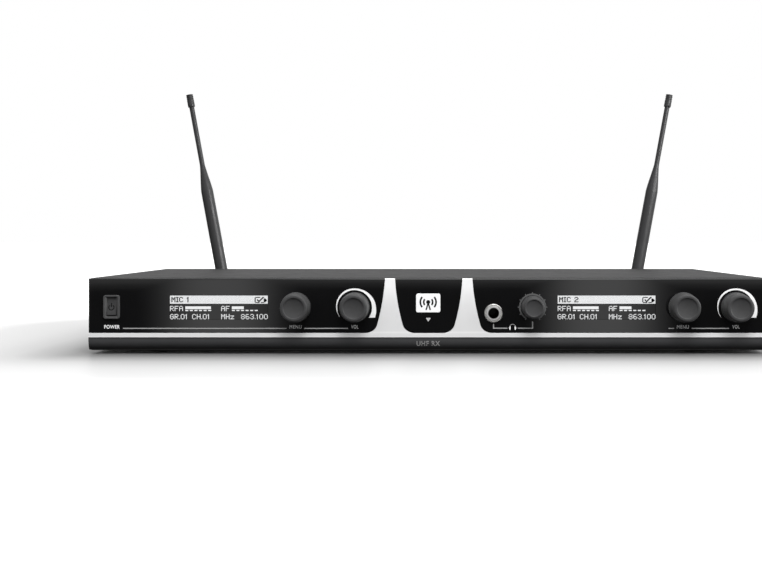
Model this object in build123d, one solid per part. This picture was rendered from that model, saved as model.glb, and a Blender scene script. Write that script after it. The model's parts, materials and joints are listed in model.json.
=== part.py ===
from build123d import *
import os
from math import sin, cos, radians, pi

# ---------------------------------------------------------------- driving dimensions (mm)
WIDTH = 420.0          # over the front panel and the cover
Z_BOTTOM = 2.2         # lower edge of the front lip
Z_TOP = 47.0           # top of the cover and of the front plates
DEPTH = 212.0          # front plane to the back of the cover's rear flange
FOOT_H = 2.5           # rubber feet lift the floor this far
SHEET = 1.0            # cover sheet
TRAY = 1.2             # chassis sheet
PLATE_T = 2.4          # front plates
KNOB_H = 13.0          # large knobs, from the panel plane
ELBOW_BACK = 230.0     # front plane to the antennas' elbow pivots
KNUCKLE_R = 5.6        # antenna knuckle
YF = (KNOB_H - ELBOW_BACK - KNUCKLE_R) / 2.0   # front plane, so the whole box is centred on Y = 0
YR = YF + DEPTH - 1.0  # outer face of the rear wall
YE = YF + ELBOW_BACK   # elbow pivots
XH = WIDTH / 2.0

CTRL_Z = 29.0
MENU_X = (-82.0, 157.0)
VOL_X = (-45.7, 189.5)
PHONES_KNOB = (64.1, 29.1)
PHONES_JACK = (40.0, 25.4)
SWITCH = (-195.5, 29.2)
DISPLAYS = (-129.45, 109.75)   # centres of the two displays
DISP_Z = 28.9
DISP_W, DISP_H = 60.3, 14.6

ANT_X = 164.4
ANT_Z = 24.0
ANT_LEAN = 10.4
ANT_LEN = 166.3

XLR_X = (-118.0, 60.0)
XLR_Z = 23.5
OUT_JACKS = ((-88.0, 23.5), (90.0, 23.5), (20.0, 23.5))
LEVEL_X = (-66.0, 112.0)
LEVEL_Z = 23.5
DC = (-30.0, 23.5)
HOOK_X = -12.0

FEET = [(sx * 172.0, y) for sx in (-1, 1) for y in (YF + 36.0, YR - 26.0)]
STANDOFFS = [(x, y) for x in (-140.0, 0.0, 140.0) for y in (-62.0, 58.0)]

os.makedirs("parts", exist_ok=True)


# ---------------------------------------------------------------- helpers
def bx(x0, x1, y0, y1, z0, z1):
    return Pos((x0 + x1) / 2, (y0 + y1) / 2, (z0 + z1) / 2) * Box(x1 - x0, y1 - y0, z1 - z0)


def cyl_y(x, z, r, y0, y1):
    return Pos(x, (y0 + y1) / 2, z) * Rot(90, 0, 0) * Cylinder(r, y1 - y0)


def cyl_z(x, y, r, z0, z1):
    return Pos(x, y, (z0 + z1) / 2) * Cylinder(r, z1 - z0)


def cyl_x(y, z, r, x0, x1):
    return Pos((x0 + x1) / 2, y, z) * Rot(0, 90, 0) * Cylinder(r, x1 - x0)


def hex_y(x, z, across, y0, y1, turn=0):
    r = across / 2 / cos(radians(30))
    f = Rot(90, 0, 0) * RegularPolygon(r, 6, rotation=turn)
    return Pos(x, y1, z) * extrude(f, amount=y1 - y0)


def rrect_y(x, z, w, h, r, y0, y1):
    """Rounded rectangle w by h in the XZ plane, from y0 to y1."""
    f = Rot(90, 0, 0) * RectangleRounded(w, h, r)
    return Pos(x, y1, z) * extrude(f, amount=y1 - y0)


def spin_y(pts):
    """Solid of revolution about Y from (radius, forward distance) points."""
    f = make_face(Polyline(*[(r, -a) for r, a in pts], close=True))
    return revolve(f, axis=Axis.Y)


def spin_z(pts):
    f = Rot(90, 0, 0) * make_face(Polyline(*pts, close=True))
    return revolve(f, axis=Axis.Z)


def xz_solid(edges, y0, y1):
    """Solid between y0 and y1 from edges drawn as (x, z) in the XY plane."""
    f = make_face(Wire(edges))
    s = extrude(f, amount=y1 - y0, dir=(0, 0, 1))      # along +Z of the sketch plane
    return Pos(0, y1, 0) * (Rot(90, 0, 0) * s)


def one(part):
    s = part.solids()
    return s[0] if len(s) == 1 else part


def group(items):
    out = []
    for i in items:
        out.extend(i.solids())
    return Compound(children=out) if len(out) > 1 else out[0]


def save(name, part):
    sol = part.solids()
    obj = sol[0] if len(sol) == 1 else Compound(sol)
    export_step(obj, f"parts/{name}.step")
    print(f"{name:24s} {len(sol):3d} {sum(s.volume for s in sol):12.1f}")


# ---------------------------------------------------------------- outlines of the front plates
def centre_edges(g, top):
    """Centre panel outline, grown by g at its sides and bottom."""
    a = [(20.6 + g, top), (19.0 + g, 31.6), (15.9 + g, 18.0), (8.4, 13.12 - g)]
    side = ThreePointArc(a[0], a[1], a[2])
    t = side % 1
    c = Bezier(a[2], (a[2][0] + t.X * 2.7, a[2][1] + t.Y * 2.7), (a[3][0] + 4.0, a[3][1]), a[3])
    m = lambda p: (-p[0], p[1])
    side2 = ThreePointArc(m(a[0]), m(a[1]), m(a[2]))
    c2 = Bezier(m(a[2]), m((a[2][0] + t.X * 2.7, a[2][1] + t.Y * 2.7)), m((a[3][0] + 4.0, a[3][1])), m(a[3]))
    return [side, c, Line(a[3], m(a[3])), c2, side2, Line(m(a[0]), a[0])]


def window_edges(side, g, outer, top):
    """Window outline on one side (+1 right, -1 left), grown by g at its inner side and bottom."""
    k = lambda p: (side * p[0], p[1])
    a = [(27.0 - g, top), (28.88 - g, 31.6), (32.03 - g, 18.0), (39.4, 13.23 - g)]
    arc = ThreePointArc(a[0], a[1], a[2])
    t = arc % 1
    b1 = (a[2][0] + t.X * 2.9, a[2][1] + t.Y * 2.9)
    b2 = (a[3][0] - 4.0, a[3][1])
    o0, o1 = (outer, 13.23 - g), (outer, top)
    return [ThreePointArc(k(a[0]), k(a[1]), k(a[2])), Bezier(k(a[2]), k(b1), k(b2), k(a[3])),
            Line(k(a[3]), k(o0)), Line(k(o0), k(o1)), Line(k(o1), k(a[0]))]


def top_front_round(part, r, z):
    """Round the front upper edge of a plate."""
    e = [x for x in part.edges() if abs(x.center().Y - YF) < 0.01 and abs(x.center().Z - z) < 0.01]
    return fillet(e, r) if e else part


# ---------------------------------------------------------------- front plates
TOPZ = Z_TOP - 0.25
controls = [(x, CTRL_Z) for x in MENU_X + VOL_X] + [PHONES_KNOB]

trim = bx(-XH + 0.1, XH - 0.1, YF, YF + PLATE_T, 10.5, 13.11) + bx(-42, 42, YF, YF + PLATE_T, 10.5, TOPZ)
trim -= xz_solid(window_edges(-1, 0.12, 60, 60), YF - 1, YF + 5)
trim -= xz_solid(window_edges(1, 0.12, 60, 60), YF - 1, YF + 5)
trim -= xz_solid(centre_edges(0.12, 60), YF - 1, YF + 5)
trim_e = [e for e in trim.edges() if abs(e.center().Y - YF) < 0.01 and e.center().Z < TOPZ - 0.1
          and abs(e.center().X) < XH - 0.5 and e.center().Z > 11.0]
trim = chamfer(trim_e, 0.15)
trim = top_front_round(trim, 0.8, TOPZ)
save("trim_plate", trim)


def window(side):
    w = xz_solid(window_edges(side, 0.0, XH - 0.05, TOPZ), YF, YF + PLATE_T)
    for (x, z) in controls:
        if x * side > 0:
            w -= cyl_y(x, z, 6.4 if abs(x - PHONES_KNOB[0]) > 1 else 6.1, YF - 1, YF + 5)
    d = DISPLAYS[0] if side < 0 else DISPLAYS[1]
    w -= rrect_y(d, DISP_Z, DISP_W + 0.4, DISP_H + 0.4, 0.6, YF - 1, YF + 5)
    if side < 0:
        w -= rrect_y(SWITCH[0], SWITCH[1], 9.7, 14.2, 1.0, YF - 1, YF + 5)
    else:
        w -= cyl_y(PHONES_JACK[0], PHONES_JACK[1], 4.65, YF - 1, YF + 5)
    # the outer end and the upper edge are softly rounded
    e = [x for x in w.edges() if abs(x.center().Y - YF) < 0.01
         and (abs(x.center().Z - TOPZ) < 0.01 or abs(abs(x.center().X) - (XH - 0.05)) < 0.01)]
    return fillet(e, 0.9)


save("window_left", window(-1))
save("window_right", window(1))

BADGE = (-0.3, 31.6)
cp = xz_solid(centre_edges(-0.12, TOPZ), YF, YF + PLATE_T)
cp -= rrect_y(BADGE[0], BADGE[1], 15.7, 12.3, 1.5, YF - 1, YF + 0.7)
cp = top_front_round(cp, 0.8, TOPZ)
save("centre_panel", cp)

badge = rrect_y(BADGE[0], BADGE[1], 15.0, 11.6, 1.2, YF - 0.25, YF + 0.68)
badge = fillet(badge.faces().sort_by(Axis.Y)[0].edges(), 0.22)
save("badge_plate", badge)

# ---------------------------------------------------------------- front bezel: curved lip and carrier wall
CARR0, CARR1 = YF + 2.5, YF + 5.5
lip = [Line((YF + 0.25, 10.4), (YF + 0.0, 10.1)),
       Bezier((YF + 0.0, 10.1), (YF + 0.0, 6.2), (YF + 0.9, 2.4), (YF + 4.0, Z_BOTTOM)),
       Line((YF + 4.0, Z_BOTTOM), (CARR1, Z_BOTTOM)), Line((CARR1, Z_BOTTOM), (CARR1, 45.85)),
       Line((CARR1, 45.85), (CARR0, 45.85)), Line((CARR0, 45.85), (CARR0, 10.4)),
       Line((CARR0, 10.4), (YF + 0.25, 10.4))]
lf = make_face(Wire(lip))
prof = extrude(Plane.YZ * lf, amount=2 * (XH - 1.15), both=False)
prof = Pos(-(XH - 1.15) - prof.bounding_box().min.X, 0, 0) * prof
full = extrude(Plane.YZ * lf, amount=2 * XH)
full = Pos(-XH - full.bounding_box().min.X, 0, 0) * full
ends = full & bx(-XH, XH, YF - 1, YF + 2.5, 0, 10.4)
bezel = prof + ends
for (x, z) in controls:
    bezel -= cyl_y(x, z, 3.6, YF, YF + 9)
for d in DISPLAYS:
    bezel -= bx(d - 33.6, d + 33.6, YF, YF + 9, DISP_Z - 11.0, DISP_Z + 11.0)
bezel -= rrect_y(SWITCH[0], SWITCH[1], 9.8, 14.3, 1.0, YF, YF + 9)
bezel -= cyl_y(PHONES_JACK[0], PHONES_JACK[1], 4.65, YF, YF + 9)
save("front_bezel", bezel)

# ---------------------------------------------------------------- chassis: a folded tray with a front wall and a rear panel welded in
FW0, FW1 = YF + 5.7, YF + 5.7 + TRAY
XI = 207.58             # inner face of the side flanges, less a hair
Z_IN = FOOT_H + TRAY + 0.02
tray = bx(-208.8, 208.8, FW0, YR, FOOT_H, FOOT_H + TRAY)
for s in (-1, 1):
    tray += bx(min(s * 208.8, s * 207.6), max(s * 208.8, s * 207.6), FW0, YR, FOOT_H, 44.0)
wall = bx(-XI, XI, FW0, FW1, Z_IN, 45.6)
for (x, z) in controls:
    wall -= cyl_y(x, z, 3.6, FW0 - 1, FW1 + 1)
for d in DISPLAYS:
    wall -= bx(d - 33.6, d + 33.6, FW0 - 1, FW1 + 1, DISP_Z - 11.0, DISP_Z + 11.0)
wall -= rrect_y(SWITCH[0], SWITCH[1], 9.8, 14.3, 1.0, FW0 - 1, FW1 + 1)
wall -= cyl_y(PHONES_JACK[0], PHONES_JACK[1], 4.65, FW0 - 1, FW1 + 1)
save("front_wall", wall)

rear = bx(-XI, XI, YR - TRAY, YR, Z_IN, 45.8)
for s in (-1, 1):
    rear -= cyl_y(s * ANT_X, ANT_Z, 5.05, YR - 3, YR + 1)
for x in XLR_X:
    rear -= cyl_y(x, XLR_Z, 11.8, YR - 3, YR + 1)
    for k in (-1, 1):
        rear -= cyl_y(x + k * 9.5, XLR_Z - k * 12.0, 1.5, YR - 3, YR + 1)
for (x, z) in OUT_JACKS:
    rear -= cyl_y(x, z, 4.65, YR - 3, YR + 1)
for x in LEVEL_X:
    rear -= bx(x - 2.7, x + 2.7, YR - 3, YR + 1, LEVEL_Z - 1.5, LEVEL_Z + 1.5)
rear -= bx(DC[0] - 4.3, DC[0] + 4.3, YR - 3, YR + 1, DC[1] - 5.3, DC[1] + 5.3)
for z in (20.0, 28.0):
    rear -= cyl_y(HOOK_X, z, 1.55, YR - 3, YR + 1)
REAR_SCREWS = [(-196.0, 42.6), (0.0, 42.6), (196.0, 42.6)]
for (x, z) in REAR_SCREWS:
    rear -= cyl_y(x, z, 1.5, YR - 3, YR + 1)
save("rear_panel", rear)

# rows of vent slots in the floor, under the board
for i in range(13):
    for y in (-20.0, 18.0):
        tray -= bx(-60 + i * 10 - 1.25, -60 + i * 10 + 1.25, y - 11, y + 11, FOOT_H - 1, FOOT_H + TRAY + 1)
SIDE_SCREWS = [(YF + 110.0, 14.0), (YF + 185.0, 14.0)]
RACK_HOLES = [(YF + 26.0, 24.0), (YF + 66.0, 24.0)]
RACK_R = 2.25
for s in (-1, 1):
    for (y, z) in SIDE_SCREWS:
        tray -= cyl_x(y, z, 1.5, s * 208 - 3, s * 208 + 3)
    for (y, z) in RACK_HOLES:
        tray -= cyl_x(y, z, RACK_R, s * 208 - 3, s * 208 + 3)
save("chassis_tray", tray)

# ---------------------------------------------------------------- top cover: bent sheet with a rear flange
CV0 = YF + 2.62
outer = bx(-XH, XH, CV0, YR + 1.0, 2.6, Z_TOP)
e = [x for x in outer.edges() if abs(x.center().Z - Z_TOP) < 0.01 and
     (abs(abs(x.center().X) - XH) < 0.01 or abs(x.center().Y - (YR + 1.0)) < 0.01)]
outer = fillet(e, 1.5)
inner = bx(-XH + SHEET, XH - SHEET, CV0 - 1, YR + 0.04, 0, Z_TOP - SHEET)
e = [x for x in inner.edges() if abs(x.center().Z - (Z_TOP - SHEET)) < 0.01 and
     (abs(abs(x.center().X) - (XH - SHEET)) < 0.01)]
inner = fillet(e, 0.5)
cover = outer - inner
# open back below the rear flange
cover -= bx(-XH + SHEET, XH - SHEET, YR - 2, YR + 3, 0, 39.9)
cover -= bx(-XH - 1, -XH + SHEET + 0.01, YR + 0.04, YR + 3, 0, 39.9)
cover -= bx(XH - SHEET - 0.01, XH + 1, YR + 0.04, YR + 3, 0, 39.9)
for (x, z) in REAR_SCREWS:
    cover -= cyl_y(x, z, 1.7, YR - 1, YR + 3)
for s in (-1, 1):
    # latch notches in the front edge
    cover -= bx(s * 133.0 - 3.3, s * 133.0 + 3.3, CV0 - 1, CV0 + 1.15, Z_TOP - 2, Z_TOP + 1)
    for (y, z) in RACK_HOLES:
        cover -= cyl_x(y, z, RACK_R, s * 210 - 3, s * 210 + 3)
    for (y, z) in SIDE_SCREWS:
        c = Pos(s * (XH - 0.575), y, z) * Rot(0, s * 90, 0) * Cone(1.6, 2.8, 1.2)
        cover -= c
        cover -= cyl_x(y, z, 1.6, s * 209.5 - 2, s * 209.5 + 2)
save("top_cover", cover)

# ---------------------------------------------------------------- feet
feet = []
for (x, y) in FEET:
    feet.append(Pos(x, y, 0) * spin_z([(0, 0), (7.2, 0), (8.2, FOOT_H - 0.02), (0, FOOT_H - 0.02)]))
save("rubber_feet", group(feet))

# ---------------------------------------------------------------- screws
def pan_screw_y(x, z, y_face, length, r_head=2.8, r=1.42):
    """Pan head screw that points -Y, its head on the face at y_face."""
    s = cyl_y(x, z, r_head, y_face, y_face + 1.7)
    s = fillet(s.edges().sort_by(Axis.Y)[-1], 0.7)
    s += cyl_y(x, z, r, y_face - length, y_face + 0.1)
    s -= bx(x - 1.6, x + 1.6, y_face + 0.7, y_face + 3, z - 0.28, z + 0.28)
    s -= bx(x - 0.28, x + 0.28, y_face + 0.7, y_face + 3, z - 1.6, z + 1.6)
    return s


ps = [pan_screw_y(x, z, YR + 1.02, 7) for (x, z) in REAR_SCREWS]
for x in XLR_X:
    for k in (-1, 1):
        ps.append(pan_screw_y(x + k * 9.5, XLR_Z - k * 12.0, YR + 1.62, 7))
save("panel_screws", group(ps))

cs = []
for s in (-1, 1):
    for (y, z) in SIDE_SCREWS:
        h = Pos(s * (XH - 0.6), y, z) * Rot(0, s * 90, 0) * Cone(1.42, 2.62, 1.15)
        h += cyl_x(y, z, 1.42, min(s * 203, s * 209.3), max(s * 203, s * 209.3))
        h -= bx(s * 210 - 0.6, s * 210 + 0.6, y - 1.5, y + 1.5, z - 0.25, z + 0.25)
        h -= bx(s * 210 - 0.6, s * 210 + 0.6, y - 0.25, y + 0.25, z - 1.5, z + 1.5)
        cs.append(h)
save("cover_screws", group(cs))

# ---------------------------------------------------------------- main board, standoffs, shields, chips
PCB_Z0, PCB_Z1 = 9.5, 11.1
mb = bx(-150, 150, -72, 68, PCB_Z0, PCB_Z1)
for (x, y) in STANDOFFS:
    mb -= cyl_z(x, y, 1.6, 5, 15)
mb = fillet(mb.edges().filter_by(Axis.Z).group_by(Axis.X)[0] + mb.edges().filter_by(Axis.Z).group_by(Axis.X)[-1], 2.0)
save("main_board", mb)
so = [Pos(0, 0, 0) * (cyl_z(x, y, 2.6, FOOT_H + TRAY, PCB_Z0) - cyl_z(x, y, 1.3, FOOT_H + TRAY + 1.0, PCB_Z0 + 1)) for (x, y) in STANDOFFS]
save("board_standoffs", group(so))
bs = []
for (x, y) in STANDOFFS:
    h = cyl_z(x, y, 2.6, PCB_Z1, PCB_Z1 + 1.8)
    h = fillet(h.edges().sort_by(Axis.Z)[-1], 0.7)
    h += cyl_z(x, y, 1.22, PCB_Z1 - 6.0, PCB_Z1 + 0.1)
    h -= bx(x - 1.5, x + 1.5, y - 0.25, y + 0.25, PCB_Z1 + 1.0, PCB_Z1 + 3)
    bs.append(h)
shields = []
for x in (-105.0, 105.0):
    sh = bx(x - 26, x + 26, 6, 46, PCB_Z1, 20.0)
    sh = fillet(sh.edges().filter_by(Axis.Z), 1.5)
    sh -= bx(x - 25.5, x + 25.5, 6.5, 45.5, PCB_Z1 - 1, 19.5)
    shields.append(sh)
save("rf_shields", group(shields))
chips = []
for (x, y, a, b, h) in ((-40, -30, 12, 12, 1.6), (40, -30, 12, 12, 1.6), (0, 20, 16, 16, 1.8), (-60, 30, 9, 6, 1.5),
                        (60, 30, 9, 6, 1.5), (-105, -30, 8, 8, 1.4), (105, -30, 8, 8, 1.4)):
    chips.append(bx(x - a / 2, x + a / 2, y - b / 2, y + b / 2, PCB_Z1, PCB_Z1 + h))
for (x, y, r, h) in ((-24, 44, 5, 16), (-36, 44, 5, 16), (30, 50, 4, 11), (-60, 52, 4, 11), (118, 56, 4, 11), (70, 8, 3.2, 8), (-70, 8, 3.2, 8)):
    c = cyl_z(x, y, r, PCB_Z1, PCB_Z1 + h)
    chips.append(fillet(c.edges().sort_by(Axis.Z)[-1], 0.6))
save("board_chips", group(chips))

# ---------------------------------------------------------------- front board behind the controls
FB0, FB1 = YF + 14.6, YF + 16.2
fb = bx(-186, 205, FB0, FB1, 6.0, 43.5)
fb -= bx(PHONES_JACK[0] - 8.5, PHONES_JACK[0] + 8.5, FB0 - 1, FB1 + 1, PHONES_JACK[1] - 9.0, PHONES_JACK[1] + 9.0)
FB_SCREWS = [(-178.0, 9.5), (-66.0, 9.5), (16.0, 9.5), (172.0, 9.5)]
for (x, z) in FB_SCREWS:
    fb -= cyl_y(x, z, 1.6, FB0 - 1, FB1 + 1)
save("front_board", fb)
for (x, z) in FB_SCREWS:
    h = cyl_y(x, z, 2.6, FB1, FB1 + 1.8)
    h = fillet(h.edges().sort_by(Axis.Y)[-1], 0.7)
    h += cyl_y(x, z, 1.22, FW1 + 0.6, FB1 + 0.1)
    h -= bx(x - 1.5, x + 1.5, FB1 + 1.0, FB1 + 3, z - 0.25, z + 0.25)
    bs.append(h)
save("board_screws", group(bs))

# ribbon between the two boards
rp = Polyline((FB1 + 0.05, 14.6), (-66.0, 14.6), (-66.0, PCB_Z1 + 0.05), (-66.8, PCB_Z1 + 0.05), (-66.8, 13.8), (FB1 + 0.05, 13.8), close=True)
rib = extrude(Plane.YZ * make_face(rp), amount=22.0)
rib = Pos(-11 - rib.bounding_box().min.X, 0, 0) * rib
e = [x for x in rib.edges().filter_by(Axis.X) if abs(x.center().Y + 66.0) < 0.01 and abs(x.center().Z - 14.6) < 0.01]
rib = fillet(e, 0.75)
save("ribbon_cable", rib)

# ---------------------------------------------------------------- displays
for name, d in (("left", DISPLAYS[0]), ("right", DISPLAYS[1])):
    pass
glasses, modules = [], []
for d in DISPLAYS:
    glasses.append(rrect_y(d, DISP_Z, DISP_W + 0.1, DISP_H + 0.1, 0.5, YF + 0.03, YF + PLATE_T - 0.02))
    m = bx(d - 33.2, d + 33.2, YF + PLATE_T + 0.04, YF + 13.6, DISP_Z - 10.6, DISP_Z + 10.6)
    m = fillet(m.edges().filter_by(Axis.Y), 1.0)
    modules.append(m)
save("display_glasses", group(glasses))
save("display_modules", group(modules))

# ---------------------------------------------------------------- power switch
SX, SZ = SWITCH
PIV = YF + 1.0
OPEN_W, OPEN_H = 5.7, 11.1
sb = rrect_y(SX, SZ, 10.2, 14.7, 1.5, YF - 1.3, YF - 0.02)
sb = fillet(sb.faces().sort_by(Axis.Y)[0].edges(), 0.35)
sb += rrect_y(SX, SZ, 9.4, 13.9, 0.8, YF - 0.5, YF + 21.0)
sb -= rrect_y(SX, SZ, OPEN_W, OPEN_H, 0.3, YF - 3, PIV + 6.0)
# the frame slopes in towards the opening
funnel = Solid.make_loft([
    Wire.make_rect(OPEN_W + 2.6, OPEN_H + 1.9, Plane(origin=(SX, YF - 1.40, SZ), x_dir=(1, 0, 0), z_dir=(0, -1, 0))),
    Wire.make_rect(OPEN_W + 0.02, OPEN_H + 0.02, Plane(origin=(SX, YF - 0.35, SZ), x_dir=(1, 0, 0), z_dir=(0, -1, 0)))])
sb -= funnel
sb -= cyl_x(PIV, SZ, 0.86, SX - 4.2, SX + 4.2)
for k in (-4.2, 0.0, 4.2):
    sb += bx(SX - 2.4, SX + 2.4, YF + 20.5, YF + 27.0, SZ + k - 0.4, SZ + k + 0.4)
save("power_switch_body", sb)
# rocker: barrel-shaped ends about the pivot, its upper half pressed in
rk = cyl_x(0, 0, 5.45, -2.77, 2.77) & bx(-3, 3, -1.45, 3.6, -6, 6)
rk = fillet([e for e in rk.edges().filter_by(Axis.X) if e.center().Y < -1.3], 0.25)
dish = cyl_x(-27.62, 0, 26.4, -2.25, 2.25)
rk -= dish & bx(-2.2, 2.2, -6, 0, -4.6, 4.6)
rk += cyl_x(0, 0, 0.8, -4.0, 4.0)
ROCKER_TILT = -9.0
rk = Pos(SX, PIV, SZ) * Rot(ROCKER_TILT, 0, 0) * rk
save("power_rocker", rk)

# ---------------------------------------------------------------- encoders, potentiometers, nuts
def control_body(x, z, w, back_hole):
    b = bx(x - w / 2, x + w / 2, FW1 + 0.1, FB0 - 0.1, z - w / 2, z + w / 2)
    b = fillet(b.edges().filter_by(Axis.Y), 1.0)
    b += cyl_y(x, z, 3.5, YF - 0.6, FW1 + 0.5)
    b -= cyl_y(x, z, 3.0, YF - 2, YF + 12.1)
    if back_hole:
        b -= cyl_y(x, z, 3.5, YF + 11.6, YF + 14.0)
    return b


save("control_bodies", group([control_body(x, CTRL_Z, 12.4, True) for x in MENU_X] + [control_body(x, CTRL_Z, 12.4, False) for x in VOL_X]
                             + [control_body(PHONES_KNOB[0], PHONES_KNOB[1], 11.0, False)]))
nuts = []
for (x, z) in controls:
    n = hex_y(x, z, 10.0, YF + 0.35, YF + 2.45)
    nuts.append(n - cyl_y(x, z, 3.53, YF - 1, YF + 4))
save("control_nuts", group(nuts))


def shaft(x, z, front):
    s = cyl_y(x, z, 2.95, YF - front, YF + 11.95)
    s = chamfer(s.edges().sort_by(Axis.Y)[0], 0.5)
    return s


def knob(x, z, r_skirt, r_body, r_lip, r_face, h, gap, hollow, dish=1.5):
    pts = [(hollow, gap), (r_skirt - 0.25, gap), (r_skirt, gap + 0.25), (r_skirt, 2.3), (r_skirt - 0.15, 2.45),
           (r_body - 0.15, 2.45), (r_body - 0.15, 2.75), (r_body, 2.85)]
    # slightly tapered wall and a soft lip
    rl = r_lip
    pts += [(rl + 0.08, h - 1.1), (rl - 0.05, h - 0.55), (rl - 0.35, h - 0.18), (rl - 0.8, h)]
    pts += [(r_face + 0.25, h), (r_face, h - 0.12)]
    n = 10
    for i in range(1, n + 1):
        r = r_face * (1 - i / n)
        t = r / r_face
        pts.append((r, h - 0.12 - dish * (1 - t * t)))
    # inside: nut chamber and shaft bore
    pts += [(0, h - 2.7), (3.0, h - 2.7), (3.0, 5.0), (hollow, 5.0)]
    return Pos(x, YF, z) * spin_y(pts)


for nm, i in (("left", 0), ("right", 1)):
    save(f"menu_shaft_{nm}", shaft(MENU_X[i], CTRL_Z, 10.2))
    save(f"menu_knob_{nm}", knob(MENU_X[i], CTRL_Z, 9.3, 8.95, 8.35, 6.3, KNOB_H, 0.85, 6.6))
    save(f"menu_plunger_{nm}", cyl_y(MENU_X[i], CTRL_Z, 2.8, YF + 12.05, YF + 13.2))
    save(f"volume_shaft_{nm}", shaft(VOL_X[i], CTRL_Z, 10.2))
    save(f"volume_knob_{nm}", knob(VOL_X[i], CTRL_Z, 9.3, 8.95, 8.35, 6.3, KNOB_H, 0.4, 6.6))
save("phones_shaft", shaft(PHONES_KNOB[0], PHONES_KNOB[1], 9.2))
save("phones_knob", knob(PHONES_KNOB[0], PHONES_KNOB[1], 7.1, 6.85, 6.4, 5.2, 12.0, 0.4, 6.0, dish=1.1))

# ---------------------------------------------------------------- 6.35 mm jacks
JACK_R = 3.25


def jack(x, z, face, out, wall_in, bl):
    """Panel jack. face: outer panel face, out: +1 when it faces +Y, wall_in: inner face of the wall it sits on."""
    y = lambda a: face + out * a
    lo = lambda a, b: (min(y(a), y(b)), max(y(a), y(b)))
    a, b = lo(1.9, -(abs(face - wall_in)) - 0.5)
    j = cyl_y(x, z, 4.5, a, b)
    j = chamfer([e for e in j.edges() if abs(e.center().Y - y(1.9)) < 0.01 and e.geom_type == GeomType.CIRCLE], 0.3)
    a, b = lo(-(abs(face - wall_in)) - 0.1, -bl)
    body = bx(x - 7.6, x + 7.6, a, b, z - 8.0, z + 8.0)
    body = fillet(body.edges().filter_by(Axis.Y), 1.0)
    j += body
    a, b = lo(3.0, -bl + 2.5)
    j -= cyl_y(x, z, JACK_R, a, b)
    return j


def ring_nut(x, z, face, out):
    y0, y1 = (face + 0.03, face + 1.45) if out > 0 else (face - 1.45, face - 0.03)
    n = cyl_y(x, z, 5.7, y0, y1)
    e = [k for k in n.edges() if k.geom_type == GeomType.CIRCLE and abs(k.center().Y - (y1 if out > 0 else y0)) < 0.01]
    n = chamfer(e, 0.45)
    return n - cyl_y(x, z, 4.55, y0 - 1, y1 + 1)


save("phones_jack", jack(PHONES_JACK[0], PHONES_JACK[1], YF, -1, FW1, 34.0))
save("output_jacks", group([jack(x, z, YR, 1, YR - TRAY, 30.0) for (x, z) in OUT_JACKS]))
save("jack_nuts", group([ring_nut(PHONES_JACK[0], PHONES_JACK[1], YF, -1)] + [ring_nut(x, z, YR, 1) for (x, z) in OUT_JACKS]))

# ---------------------------------------------------------------- XLR outputs
XPINS = [(-3.8, 1.3), (3.8, 1.3), (0.0, -2.7)]
xl, xp = [], []
for x in XLR_X:
    s = rrect_y(x, XLR_Z, 26.0, 31.0, 3.0, YR + 0.02, YR + 1.6)
    s = fillet(s.faces().sort_by(Axis.Y)[-1].edges(), 0.4)
    s += cyl_y(x, XLR_Z, 11.6, YR - 24.0, YR + 1.0)
    s += cyl_y(x, XLR_Z, 11.0, YR + 1.0, YR + 2.2)
    s -= cyl_y(x, XLR_Z, 9.6, YR - 16.0, YR + 4)
    for (px, pz) in XPINS:
        s -= cyl_y(x + px, XLR_Z + pz, 1.25, YR - 26, YR - 10)
        p = cyl_y(x + px, XLR_Z + pz, 1.2, YR - 27.0, YR - 2.5)
        xp.append(fillet(p.edges().sort_by(Axis.Y)[-1], 0.8))
    for k in (-1, 1):
        s -= cyl_y(x + k * 9.5, XLR_Z - k * 12.0, 1.6, YR - 3, YR + 4)
    xl.append(s)
save("xlr_sockets", group(xl))
save("xlr_contacts", group(xp))

# ---------------------------------------------------------------- DC inlet and cable hook
dc = bx(DC[0] - 5.6, DC[0] + 5.6, YR + 0.02, YR + 0.9, DC[1] - 6.6, DC[1] + 6.6)
dc = fillet(dc.edges().filter_by(Axis.Y), 1.0)
dc += bx(DC[0] - 4.2, DC[0] + 4.2, YR - 14.0, YR + 0.5, DC[1] - 5.2, DC[1] + 5.2)
dc -= cyl_y(DC[0], DC[1], 2.85, YR - 10.5, YR + 3)
dc += cyl_y(DC[0], DC[1], 0.98, YR - 11.0, YR - 0.8)
save("dc_inlet", dc)

hk = bx(HOOK_X - 4, HOOK_X + 4, YR + 0.02, YR + 1.8, 16.5, 31.5)
hk += bx(HOOK_X - 4, HOOK_X + 4, YR + 0.5, YR + 9.0, 16.5, 18.6)
hk += bx(HOOK_X - 4, HOOK_X + 4, YR + 7.3, YR + 9.0, 16.5, 28.0)
e = [x for x in hk.edges().filter_by(Axis.X) if abs(x.center().Y - (YR + 9.0)) < 0.01 and abs(x.center().Z - 16.5) < 0.01]
hk = fillet(e, 2.0)
e = [x for x in hk.edges().filter_by(Axis.X) if abs(x.center().Z - 28.0) < 0.01]
hk = fillet(e, 0.7)
for z in (20.0, 28.0):
    hk += cyl_y(HOOK_X, z, 1.5, YR - 2.4, YR + 0.5)
save("cable_hook", hk)

# ---------------------------------------------------------------- level switches
lv = []
for i, x in enumerate(LEVEL_X):
    b = bx(x - 5.0, x + 5.0, YR - 8.0, YR - TRAY - 0.05, LEVEL_Z - 3.2, LEVEL_Z + 3.2)
    b -= bx(x - 2.7, x + 2.7, YR - 5.0, YR + 1, LEVEL_Z - 1.5, LEVEL_Z + 1.5)
    lv.append(b)
    k = bx(x - 2.5, x - 0.3, YR - 4.6, YR + 0.9, LEVEL_Z - 1.3, LEVEL_Z + 1.3)
    k = fillet(k.faces().sort_by(Axis.Y)[-1].edges(), 0.25)
    save(f"level_slider_{'left' if i == 0 else 'right'}", k)
save("level_switch_bodies", group(lv))

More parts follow.
